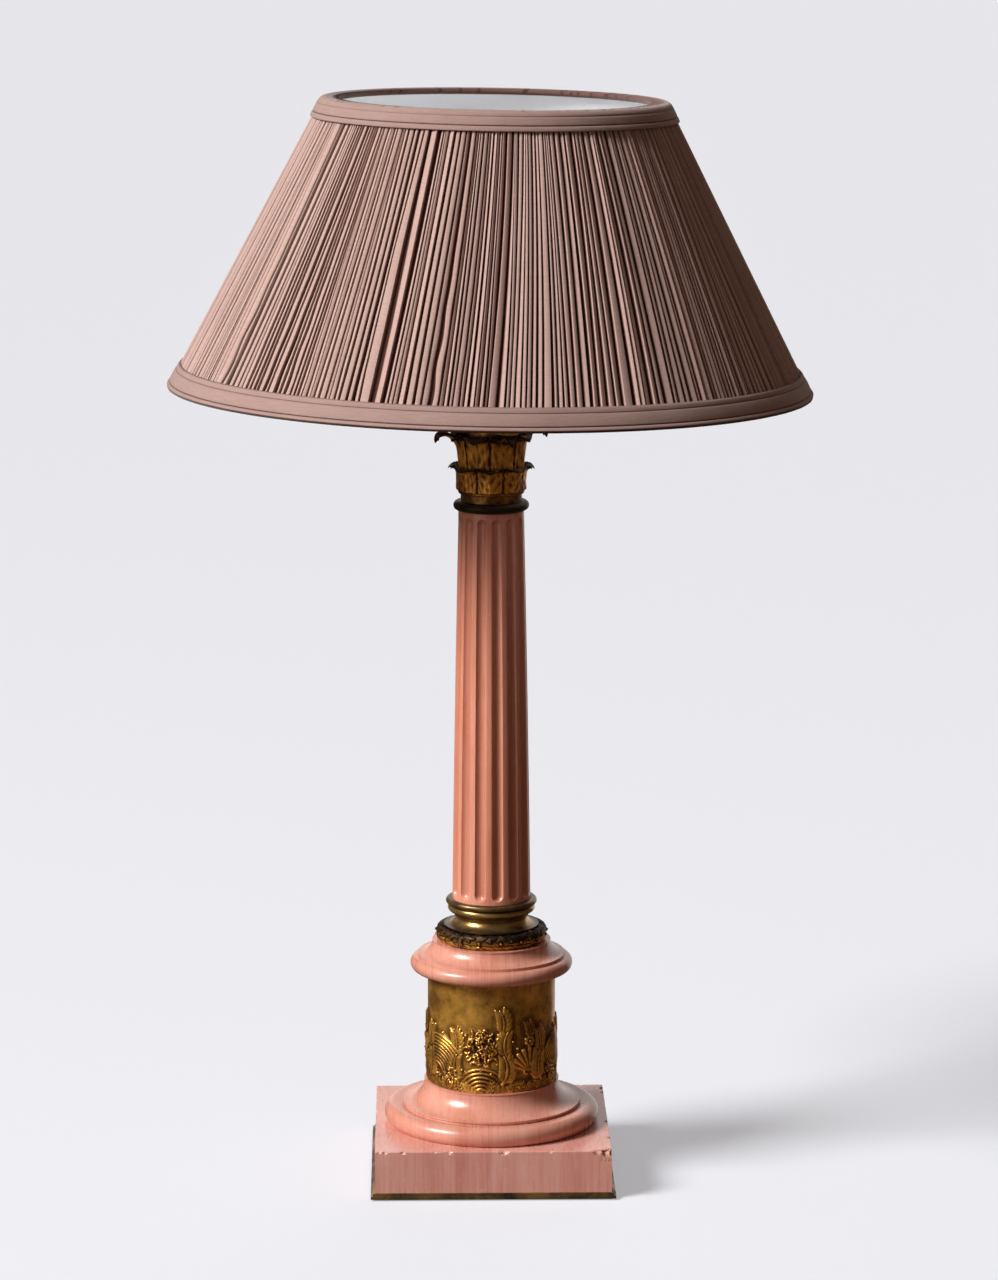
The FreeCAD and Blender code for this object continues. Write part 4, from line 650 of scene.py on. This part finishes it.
def waves(relief, x, y, reach, turn, ribs=7):
    """Ribs in arcs round one another."""
    for number in range(ribs):
        radius = reach * (0.28 + 0.72 * number / (ribs - 1))
        angles = turn + np.linspace(-1.0, 1.0, 14) * (1.2 - 0.07 * number)
        relief.stroke(list(zip(x + radius * np.cos(angles), y + radius * np.sin(angles))),
                      [0.45, reach * 0.055, reach * 0.06, 0.45], [0.5, 1.3, 1.45, 0.6])


def fan_shell(relief, x, y, reach):
    """A shell of ribs that spread from its foot."""
    for share in np.arange(SHELL_RIBS) / (SHELL_RIBS - 1):
        angle = math.pi * (0.12 + 0.76 * share)
        bulge = reach * (1 - 0.16 * abs(2 * share - 1))
        relief.stroke([moved((x, y), bulge * part, angle) for part in (0, 0.5, 1)],
                      [0.35, reach * 0.075, reach * 0.12], [0.5, 0.95, 1.35])
    for side in (-1, 1):
        curl = np.linspace(0, 1.3 * math.pi, 12)
        relief.stroke([(x + side * (2.0 + 2.2 * math.sin(a)), y - 1.5 + 2.2 * (1 - math.cos(a)) * 0.8)
                       for a in curl], [1.0, 0.6], [1.2, 0.8])


def frieze():
    """A dense band of scrolls, clumps of leaves, ribbed waves and shells, uneven along its top."""
    relief = Relief(TAU * DRUM_RADIUS, DRUM_HEIGHT, RELIEF_STEP)
    chance = np.random.default_rng(23)
    pitch = relief.width / len(FRIEZE_UNITS)
    for number, kind in enumerate(FRIEZE_UNITS):
        x = (number + 0.5) * pitch + chance.normal(0, 1.0)
        facing = 1 if number % 2 else -1
        edge = number * pitch + chance.normal(0, 1.0)
        relief.dab(edge, 17 + chance.normal(0, 3), 11.0, 0.55, flat=0.3)
        relief.leaf(edge, 6.0, UP - facing * 0.55, 19.0, 9.5, 1.5, lobes=6, bend=facing * 1.1)
        relief.leaf(edge + facing * 3, 24.0, UP + facing * 0.4, 17.0, 8.0, 1.3, lobes=6,
                    bend=-facing)
        if kind == "scroll":
            scroll(relief, x, 20.0, 13.0, facing, chance)
            relief.leaf(x - facing * 3, 32.0, UP + facing * 0.3, 13.0, 7.0, 1.4, bend=-facing)
        elif kind == "bush":
            bush(relief, x, 30.0, 11.5, chance)
            waves(relief, x, -2.0, 18.0, UP, 6)
        elif kind == "waves":
            waves(relief, x - facing * 8, 10.0, 25.0, UP - facing * 0.55, 9)
            bush(relief, x + facing * 7, 9.0, 6.5, chance)
        else:
            fan_shell(relief, x, 13.0, 15.0)
            relief.rosette(x, 33.0, 4.0, 1.7, petals=7)
            relief.leaf(x, 35.0, UP - facing * 0.2, 11.0, 6.0, 1.3, bend=facing * 0.8)
        if number % 3 == 1:
            relief.leaf(edge, 39.0, UP - facing * 0.3, 16.0, 8.0, 1.3, lobes=5, bend=facing * 0.9)
        for _ in range(22):
            relief.dab(number * pitch + chance.uniform(0, pitch), chance.uniform(3, 40),
                       chance.uniform(0.5, 1.3), chance.uniform(0.6, 1.4))
    for x in np.arange(0, relief.width, 2.6):
        relief.leaf(x, 0.4, UP + chance.normal(0, 0.35), chance.uniform(3.5, 9.5), 3.4,
                    chance.uniform(0.7, 1.3), lobes=3, bend=chance.normal(0, 0.5))
    ground = np.clip(relief.blurred(relief.heights, 6) * 0.8, 0, 0.7)
    y = np.arange(relief.rows)[:, None] * relief.along
    foot = 0.6 * np.clip(1 - np.abs(y - 0.6) / 0.9, 0, 1) ** 0.5
    relief.heights = 1.2 * np.maximum(np.maximum(relief.heights, ground), foot)
    relief.heights[-2:] = 0
    low_places = np.clip(relief.cavity(0.48, 4) + 0.5 * relief.cavity(0.9, 14), 0, 1)
    base = node_level("frieze_drum")

    def surface(x, y, height):
        return round_axis(DRUM_RADIUS + height, x / DRUM_RADIUS, y + base)

    wall = DRUM_INNER - DRUM_RADIUS
    relief_piece("frieze_drum", relief, surface, low_places, [(DRUM_HEIGHT, wall), (0.0, wall)])


WREATH_RADIUS = 31.3
WREATH_BODY = 4.15
WREATH_HEIGHT = 4.8
WREATH_LEAVES = 32
# Rows of leaves: turn round the body, shift along the ring in leaves, slope
WREATH_ROWS = ((0.26, 0.5, 0.3), (0.41, 0.0, -0.3), (0.57, 0.5, 0.45), (0.71, 0.0, -0.25))


def wreath():
    """Laurel leaves in overlapping pairs along a ring, with berries and a few ties."""
    section = TAU * WREATH_BODY
    relief = Relief(TAU * WREATH_RADIUS, section, 0.26)
    chance = np.random.default_rng(8)
    pitch = relief.width / WREATH_LEAVES
    for number in range(WREATH_LEAVES):
        for turn, shift, slope in WREATH_ROWS:
            x = (number + shift) * pitch
            y = section * turn + chance.normal(0, 0.2)
            heading = slope + chance.normal(0, 0.10)
            for wide, tall in ((2.1, 0.8), (0.35, 1.15)):
                relief.stroke(
                    [moved((x, y), share * 1.5 * pitch, heading) for share in (0, 0.55, 1)],
                    [wide * 0.3, wide, wide * 0.12], [tall * 0.3, tall, tall * 1.35])
        relief.dab((number + 0.8) * pitch, section * (0.50 + 0.05 * (number % 2)), 0.9, 1.3)
    for number in range(4):
        x = relief.width * (number + 0.62) / 4
        for lean in (-3.0, 3.0):
            relief.stroke([(x - lean, section * 0.2), (x + lean, section * 0.8)], [0.7], [1.3])
    base = node_level("laurel_wreath")

    def surface(x, y, height):
        turn = y / WREATH_BODY + math.pi
        reach = WREATH_BODY + np.minimum(height, 1.2)
        return round_axis(WREATH_RADIUS + reach * np.cos(turn), x / WREATH_RADIUS,
                          base + np.clip(WREATH_HEIGHT + reach * np.sin(turn), 0, None))

    # Painted shade: the upper half of the ring's section is darker, besides the patina in the low
    # places
    upper = np.sin(np.arange(relief.rows) / relief.rows * TAU + math.pi)[:, None]
    painted_upper_shade = 0.75 * np.clip(upper * 1.6 + 0.25, 0, 1)
    relief_piece("laurel_wreath", relief, surface, np.clip(relief.cavity(0.18, 3) + painted_upper_shade, 0, 1))


# Acanthus leaves of the capital

CAPITAL_TURN = math.radians(19.5)
LEAF_ROWS = 40
LEAF_COLUMNS = 40
LEAF_RADIUS = 20.9


def leaf_line(base, *corners):
    """Smooth line through (radius, level over the base) corners, by repeated corner cutting."""
    points = np.array(corners) + (0, base)
    for _ in range(4):
        near = 0.75 * points[:-1] + 0.25 * points[1:]
        far = 0.25 * points[:-1] + 0.75 * points[1:]
        cut = np.empty((2 * len(near), 2))
        cut[0::2], cut[1::2] = near, far
        points = np.concatenate([points[:1], cut, points[-1:]])
    steps = np.hypot(*np.diff(points, axis=0).T)
    shares = np.concatenate([[0], np.cumsum(steps)]) / steps.sum()
    even = np.linspace(0, 1, LEAF_ROWS)
    return np.stack([np.interp(even, shares, points[:, axis]) for axis in (0, 1)], axis=1)


def acanthus(azimuth, line, half_width, thick, chance, lobes=4, veins=4, narrow=0.0):
    """Points of one leaf: front and back of a lobed, veined strip that follows a line."""
    up = np.linspace(0, 1, len(line))[:, None]
    normals = np.gradient(line, axis=0)
    normals = np.stack([normals[:, 1], -normals[:, 0]], axis=1)
    normals /= np.linalg.norm(normals, axis=1)[:, None]
    scallop = np.abs(np.sin(math.pi * lobes * up)) ** 0.6
    tip = np.clip((1 - up) / 0.16, 0, 1) ** 0.5
    width = half_width * (0.93 + 0.07 * scallop) * (0.35 + 0.65 * tip) * (1 - narrow * up)
    across = np.linspace(-1, 1, LEAF_COLUMNS)
    phases = chance.uniform(0, TAU, 3)
    rows, shades = [], []
    for side, order in ((1, across), (-1, across[::-1])):
        place = order * np.ones_like(up)
        fan = place * (1.25 - 0.45 * up) + 0.22 * np.sin(5.0 * up + phases[0] + 2.4 * place)
        fold = 0.5 + 0.5 * np.cos(fan * veins * math.pi + phases[1])
        cross = 0.5 + 0.5 * np.cos(9.0 * (np.abs(place) * 0.9 - up * 2.2) + phases[2])
        rib = np.exp(-(place / 0.13) ** 2)
        depth = (0.30 * fold + 0.22 * cross) * np.clip(1.1 - 0.5 * up, 0, 1) + 0.5 * rib
        depth = depth - 0.5 * np.abs(place) ** 4
        lift = thick / 2 * side * (1 + 0.5 * up) + (depth if side > 0 else -0.1)
        droop = np.clip((up - 0.66) / 0.34, 0, 1) * (1 - place ** 2)
        radius = line[:, :1] + normals[:, :1] * lift + 0.9 * droop
        level = line[:, 1:] + normals[:, 1:] * lift - 1.3 * droop
        angle = azimuth + place * width / (np.maximum(radius, 8) if narrow else LEAF_RADIUS)
        rows.append(round_axis(radius, angle, level))
        dark = 0.55 * (1 - fold) * (1 - cross) + 0.75 * np.clip((np.abs(place) - 0.90) / 0.10, 0, 1)
        # Painted shade on the curled tip of each leaf
        dark = np.clip(np.maximum(dark, (up - 0.74) / 0.08), 0, 1)
        shades.append(dark if side > 0 else np.maximum(dark, 0.8))
    return np.concatenate(rows, axis=1), np.concatenate(shades, axis=1)


def leaf_ring(node, azimuths, line, half_width, thick=1.0, **style):
    """All leaves of one node as a single piece."""
    chance = np.random.default_rng(len(azimuths) + int(line[-1, 1]))
    leaves = [acanthus(azimuth, line, half_width, thick, chance, **style) for azimuth in azimuths]
    rows, columns = leaves[0][1].shape
    faces = [tuple(corner + number * rows * columns for corner in face)
             for number in range(len(leaves)) for face in grid_faces(rows, columns, closed=False)]
    vertices = np.concatenate([points.reshape(-1, 3) for points, _ in leaves]) * MM
    shades = np.concatenate([dark.ravel() for _, dark in leaves])
    piece(node + "_leaves", node, vertices, faces, shades, LEAF_BRONZE, "base",
          edged=False)


def capital():
    """Two tiers of eight leaves and a curled leaf under each horn of the abacus."""
    base = node_level("capital_bell") + 6.9
    lower = leaf_line(base, (20.9, 0), (20.9, 5), (21.1, 10.5), (22.0, 14.0), (23.8, 15.4),
                      (25.6, 15.5), (25.8, 14.2))
    upper = leaf_line(base, (19.8, 7), (20.2, 18), (21.4, 28), (22.8, 34.4), (24.6, 36.4),
                      (25.4, 35.2), (24.8, 32.8))
    eighth = TAU / 8
    leaf_ring("lower_leaf_tier", CAPITAL_TURN + eighth * np.arange(8) + eighth / 2, lower, 8.15)
    leaf_ring("upper_leaf_tier", CAPITAL_TURN + eighth * np.arange(8), upper, 8.1, lobes=6)
    for number in range(4):
        node = f"corner_volute_{number + 1}"
        line = leaf_line(node_level(node) + 7, (20.7, -16), (22.2, -9), (26.5, -3.4), (32.5, -1.6),
                         (35.8, -2.8), (36.4, -4.8), (35.6, -6.0))
        leaf_ring(node, [CAPITAL_TURN + TAU * number / 4], line, 5.0, 1.5, lobes=5, veins=2, narrow=0.5)


# Plinth: rings of points round a square, close together at the worn upper edge

PLINTH_HALF = 75.0
PLINTH_HEIGHT = 27.0
PLINTH_SIDE_STEPS = 260
# A chip past this from the middle also wears the side there
PLINTH_CORNER = 72
# Chips of the upper edge, front (-1) and back (1): (x, side, radius, depth)
PLINTH_CHIPS = [
    (-72.5, -1, 1.0, 0.8), (-68.5, -1, 1.3, 0.9), (-57.0, -1, 1.5, 1.0), (-37.0, -1, 0.9, 0.5),
    (-28.0, -1, 1.6, 0.7), (7.0, -1, 2.2, 1.3), (36.0, -1, 1.1, 0.5), (66.0, -1, 2.4, 1.4),
    (73.0, -1, 4.2, 2.4), (-50.0, 1, 1.6, 1.0), (22.0, 1, 2.0, 1.1), (61.0, 1, 1.3, 0.8),
]


def plinth():
    steps, half, top = PLINTH_SIDE_STEPS, PLINTH_HALF, PLINTH_HEIGHT
    run = -1 + 2 * (0.5 - 0.5 * np.cos(np.linspace(0, math.pi, steps, endpoint=False)))
    run = 0.35 * run + 0.65 * np.linspace(-1, 1, steps, endpoint=False)
    front = np.stack([run, -np.ones(steps)], axis=1)
    side = front[:, ::-1] * (-1, 1)
    square = np.concatenate([front, side, -front, -side])
    rows = [(BORE, 0), (half - 6, 0), (half - 0.15, 0), (half, 0.15)]
    rows += [(half, level) for level in np.linspace(1, top - 5, 12)]
    rows += [(half, level) for level in np.linspace(top - 4.6, top - 0.4, 15)]
    rows += [(half - 0.1, top - 0.15), (half - 0.4, top)]
    rows += [(half - inset, top) for inset in np.linspace(0.7, 4.6, 14)]
    rows += [(half - 12, top), (half - 30, top), (BORE, top)]
    flat = np.concatenate([np.insert(square * reach, 2, level, axis=1) for reach, level in rows])
    chance = np.random.default_rng(4)
    chips = np.zeros(len(flat))
    corners = [(x, side * half, radius, depth) for x, side, radius, depth in PLINTH_CHIPS]
    corners += [(side * half, chance.uniform(-70, 70), chance.uniform(0.8, 2.0), 0.9)
                for side in (-1, 1) for _ in range(5)]
    for x, y, radius, depth in corners:
        away = flat - np.array([x, y, top])
        notch = np.cos(flat[:, 2] * 5.3 + flat[:, 1] * 3.7 + x)
        jagged = 1 + 0.35 * np.sin(flat[:, 0] * 4.1 + y) * notch
        far = np.linalg.norm(away * np.array([0.8, 0.8, 1.0]), axis=1)
        share = np.clip(1 - far / radius * jagged, 0, 1)
        inward = np.array([-np.sign(x) * (abs(x) > PLINTH_CORNER),
                           -np.sign(y) * (abs(y) > PLINTH_CORNER), -0.9])
        flat += (share ** 0.7)[:, None] * inward * depth
        chips = np.maximum(chips, np.clip(share * 2.5, 0, 1))
    flat[:, 2] += node_level("plinth")
    piece("plinth_block", "plinth", flat * MM, grid_faces(len(rows), 4 * steps), chips,
          PLINTH_STONE, "base")


# Shade

LEAN = math.radians(1.02)
FITTER_LEVEL = 544.35 * MM


def leaned(points):
    """Shade points from the fitter's upright frame to the lamp's frame."""
    x, y, z = points.T
    sine, cosine = math.sin(LEAN), math.cos(LEAN)
    return np.stack([x * cosine + z * sine, y, z * cosine - x * sine + FITTER_LEVEL], axis=1)


SHADE_FOOT = 202.8 * MM
SHADE_HEAD = 108.5 * MM
SHADE_HEIGHT = 181.6 * MM
SHADE_BOTTOM = -37.05 * MM
SHADE_TOP = SHADE_BOTTOM + SHADE_HEIGHT
CLOTH_MARGIN = 1.4 * MM
COVER_INSET = 1.4 * MM
PLEAT_DEPTH = 3.1 * MM
PLEATS = 296
# Front of a pleat: (share of the way across it, height)
PLEAT_FRONTS = np.array([(0.0, 0.30), (0.03, 0.72), (0.10, 0.94), (0.30, 1.0), (0.50, 1.0), (0.70, 1.0),
                         (0.90, 0.94), (0.97, 0.72), (1.0, 0.30)])
COVER_ROWS = 56
# Kinds of run: (range of widths), (fewest pleats, one more than the most), and how often each comes
PLEAT_RUNS = (((0.55, 0.80), (2, 4)), ((0.85, 1.2), (1, 4)), ((1.2, 1.65), (1, 3)))
RUN_CHANCES = (0.38, 0.38, 0.24)


def shade_radius(level, inset=0.0):
    share = (level - SHADE_BOTTOM) / SHADE_HEIGHT
    return SHADE_FOOT + (SHADE_HEAD - SHADE_FOOT) * share - inset


def pleat_widths(chance):
    """Relative widths of the pleats at the foot and at the head, in short runs of a kind."""
    foot = []
    while len(foot) < PLEATS:
        widths, counts = PLEAT_RUNS[chance.choice(3, p=RUN_CHANCES)]
        foot.extend(chance.uniform(*widths, chance.integers(*counts)))
    foot = np.array(foot[:PLEATS])
    head = foot * chance.uniform(0.65, 1.35, PLEATS)
    return foot, np.where(chance.random(PLEATS) < 0.16, head * 0.35, head)


def pleated_cover():
    """Gathered cloth: flat-topped ridges of uneven width with deep narrow gaps between them."""
    chance = np.random.default_rng(11)
    foot, head = pleat_widths(chance)
    wander = chance.normal(0, 1, (PLEATS, 4))
    wavy = np.where(chance.random(PLEATS) < 0.08, 0.9, 0.05)
    crest = chance.uniform(0.78, 1.0, PLEATS)
    gap_share = np.where(chance.random(PLEATS) < 0.28, chance.uniform(0.40, 0.48, PLEATS),
                         chance.uniform(0.27, 0.38, PLEATS))[:, None]
    slant = chance.uniform(-0.28, 0.28, PLEATS)[:, None]
    front, rise = PLEAT_FRONTS.T
    across = np.concatenate([front * (1 - gap_share), 1 - gap_share * 0.80, 1 - gap_share * 0.25],
                            axis=1)
    tops = (rise + slant * (2 * front - 1) * (rise > 0.5)) * crest[:, None]
    height = np.concatenate([np.clip(tops, 0, 1.1), np.zeros((PLEATS, 2))], axis=1)
    points = []
    for row in range(COVER_ROWS):
        share = row / (COVER_ROWS - 1)
        level = SHADE_BOTTOM + CLOTH_MARGIN + share * (SHADE_HEIGHT - 2 * CLOTH_MARGIN)
        widths = foot * (1 - share) + head * share
        sway = (wander[:, 0] * np.sin(share * 4.0 + wander[:, 1] * 3)
                + wavy * wander[:, 2] * np.sin(share * 34 + wander[:, 3] * 4)
                * np.clip(1 - share * 1.6, 0, 1))
        starts = np.concatenate([[0.0], np.cumsum(widths)]) / widths.sum() * TAU
        starts = starts[:-1] + np.clip(sway, -1.9, 1.9) * 0.11 * np.diff(starts)
        ends = np.roll(starts, -1)
        ends[-1] += TAU
        angle = starts[:, None] + (ends - starts)[:, None] * across
        reach = shade_radius(level, COVER_INSET) - PLEAT_DEPTH * (1 - height)
        points.append(round_axis(reach, angle, level).reshape(-1, 3))
    # Painted shade in the gaps between pleats, darkest at their bottoms
    hollow = np.tile(np.clip(1.24 - height * 1.5, 0, 1).ravel() ** 1.1, COVER_ROWS)
    return piece("pleated_cloth_cover", "pleated_cover", leaned(np.concatenate(points)),
                 grid_faces(COVER_ROWS, height.size, closed=False), hollow, PLEAT_CLOTH, "shade")


TRIM_COLUMNS = 360
TRIM_WOBBLE = 0.05 * MM
TRIM_HEIGHT = 14.2 * MM
TOP_TRIM_HEIGHT = 12.4 * MM
TRIM_INSIDE = 11.6
TRIM_TURN = 3.8


def trim(name, node, edge, sign, height, steps):
    """Binding of folded cloth round the shade, with seam marks where it turns in.

    steps are (share of the height from the pleats, how proud, painted shade).
    """
    corners = [(height * (1 - share), -proud, dark) for share, proud, dark in steps]
    # The inward turn is painted in shade, darker further in
    corners += [(depth * MM, inset, dark) for inset, depth, dark in (
        (3.0, 0.0, 0.2), (4.2, 0.3, 0.6), (TRIM_INSIDE, 0.6, 0.75), (TRIM_INSIDE, TRIM_TURN, 0.9),
        (TRIM_INSIDE - 1.0, TRIM_TURN, 0.9), (TRIM_INSIDE - 1.0, 1.1, 0.9), (2.2, 1.1, 0.9),
        (1.3, height / MM, 0.9))]
    angles = np.linspace(0, TAU, TRIM_COLUMNS, endpoint=False)
    chance = np.random.default_rng(len(name))
    waves = sum(chance.normal(0, 1) * np.sin(angles * count + chance.uniform(0, TAU))
                for count in (3, 7, 12, 23, 41)) * TRIM_WOBBLE
    points = []
    for rise, inset, _ in corners:
        level = edge + sign * rise
        points.append(round_axis(shade_radius(level, inset * MM) + waves, angles, level))
    shades = np.repeat([[dark] for _, _, dark in corners], TRIM_COLUMNS, axis=1)
    marks = np.where(chance.random(TRIM_COLUMNS) < 0.07, chance.uniform(0.35, 0.95, TRIM_COLUMNS), 0.0)
    turned_in = slice(len(steps) - 2, len(steps) + 3)
    shades[turned_in] = np.clip(shades[turned_in] + marks, 0, 1)
    return piece(name, node, leaned(np.concatenate(points)), grid_faces(len(corners), TRIM_COLUMNS),
                 shades.ravel(), TRIM_CLOTH, "shade", edged=False)


# The last number of each step is painted shade, dark in the grooves and creases of the binding and at
# its edges
BOTTOM_STEPS = [
    (0.00, -0.9, 0.9), (0.02, -0.1, 0.2), (0.06, 0.1, 0.0), (0.19, 0.15, 0.0), (0.215, 0.0, 0.5),
    (0.23, -0.2, 0.7), (0.25, 0.2, 0.1), (0.30, 0.45, 0.0), (0.50, 0.6, 0.0), (0.70, 0.5, 0.0),
    (0.745, 0.3, 0.2), (0.757, -0.2, 1.0), (0.772, -0.2, 1.0), (0.785, 0.4, 0.2), (0.82, 0.8, 0.0),
    (0.87, 0.9, 0.0), (0.895, 0.8, 0.1), (0.91, 0.6, 0.9), (1.00, -0.2, 1.0),
]
TOP_STEPS = [
    (0.00, -0.9, 0.8), (0.02, 0.1, 0.1), (0.06, 0.4, 0.0), (0.22, 0.5, 0.0), (0.25, 0.3, 0.2),
    (0.262, -0.2, 1.0), (0.28, -0.2, 1.0), (0.295, 0.2, 0.1), (0.36, 0.4, 0.0), (0.60, 0.5, 0.0),
    (0.685, 0.5, 0.0), (0.70, 0.2, 0.45), (0.715, 0.4, 0.1), (0.80, 0.4, 0.0), (0.88, 0.1, 0.0),
    (0.94, -0.4, 0.0), (0.98, -1.1, 0.0), (1.00, -2.0, 0.0),
]

dress_nodes()
turned_pieces()
fluted_column()
frieze()
wreath()
capital()
plinth()
cover = pleated_cover()
bottom_trim = trim("bottom_binding", "bottom_trim", SHADE_BOTTOM, 1, TRIM_HEIGHT, BOTTOM_STEPS)
top_trim = trim("top_binding", "top_trim", SHADE_TOP, -1, TOP_TRIM_HEIGHT, TOP_STEPS)


# Stage, lights and camera

FLOOR_REACH = 30.0
BACKDROP_HEIGHT = 14.0


def staged(name, vertices, faces, material):
    """A stage piece that the camera sees and that throws no light back on the lamp."""
    mesh = bpy.data.meshes.new(name)
    mesh.from_pydata(vertices, [], faces)
    mesh.materials.append(material)
    made = linked(name, mesh)
    made.visible_diffuse = False
    made.visible_glossy = False
    return made


def stage():
    """A pale seamless floor, and far round it an even backdrop of the same paleness."""
    reach = FLOOR_REACH
    paint = Tree("floor_paint").finish(Base_Color=colour(187, 189, 194), Roughness=0.9,
                                       Emission_Color=colour(154, 155, 159), Emission_Strength=1.0)
    staged("floor", [(-reach, -reach, 0), (reach, -reach, 0), (reach, reach, 0), (-reach, reach, 0)],
           [(0, 1, 2, 3)], paint)
    glow = Tree("backdrop_paint").finish(
        Base_Color=colour(0, 0, 0), Emission_Color=colour(229, 230, 232), Emission_Strength=1.0,
        Specular_IOR_Level=0.0)
    angles = np.linspace(0, TAU, 48, endpoint=False)
    ring = [(*moved((0, 0), 0.95 * reach, turn), level)
            for level in (0.0, BACKDROP_HEIGHT) for turn in angles]
    wall = staged("backdrop", ring, grid_faces(2, len(angles), closed=False), glow)
    wall.visible_shadow = False


def aim(item, direction):
    item.rotation_euler = Vector(direction).to_track_quat("-Z", "Y").to_euler()


def soft_light(name, place, target, width, height, power, warmth=(1, 1, 1)):
    lamp = bpy.data.lights.new(name, "AREA")
    lamp.shape = "RECTANGLE"
    lamp.size = width
    lamp.size_y = height
    lamp.energy = power
    lamp.color = warmth
    made = linked(name, lamp)
    made.location = place
    aim(made, Vector(target) - Vector(place))
    made.visible_camera = False


def sun(name, toward, strength, spread):
    """Distant soft light that falls evenly on the whole floor."""
    lamp = bpy.data.lights.new(name, "SUN")
    lamp.energy = strength
    lamp.angle = math.radians(spread)
    aim(linked(name, lamp), toward)


WORLD_COLOUR = (0.98, 0.67, 0.50, 1.0)
WORLD_STRENGTH = 0.12


def lighting():
    sun("daylight", (2.6, 1.15, -2.15), strength=3.95, spread=24)
    sun("fill", (-0.26, -0.95, -0.15), strength=0.65, spread=60)
    soft_light("key", (-2.5, -1.3, 2.1), (0, 0, 0.4), width=1.3, height=0.8, power=22)
    soft_light("window", (-2.4, -2.6, 0.5), (0, 0, 0.25), width=2.6, height=2.2, power=13)
    # Stands for the light on the lining inside the shade
    soft_light("bounce", (-0.02, -0.05, 0.60), (0.10, 0.075, 0.68), width=0.14, height=0.06,
               power=0.17, warmth=(0.88, 0.95, 1.0))
    world = bpy.data.worlds.new("studio")
    world.use_nodes = True
    background = world.node_tree.nodes["Background"]
    background.inputs["Color"].default_value = WORLD_COLOUR
    background.inputs["Strength"].default_value = WORLD_STRENGTH
    bpy.context.scene.world = world


CAMERA_PLACE = (-0.0466, -2.7956, 0.871)
CAMERA_AIM = (0.0181, 0.9827, -0.1844)
CAMERA_LENS = 125.9


def camera():
    lens = bpy.data.cameras.new("camera")
    lens.lens = CAMERA_LENS
    lens.sensor_width = 36.0
    lens.clip_end = 100.0
    made = linked("camera", lens)
    made.location = CAMERA_PLACE
    aim(made, CAMERA_AIM)
    bpy.context.scene.camera = made


stage()
lighting()
camera()
bpy.context.scene.view_settings.view_transform = "Standard"
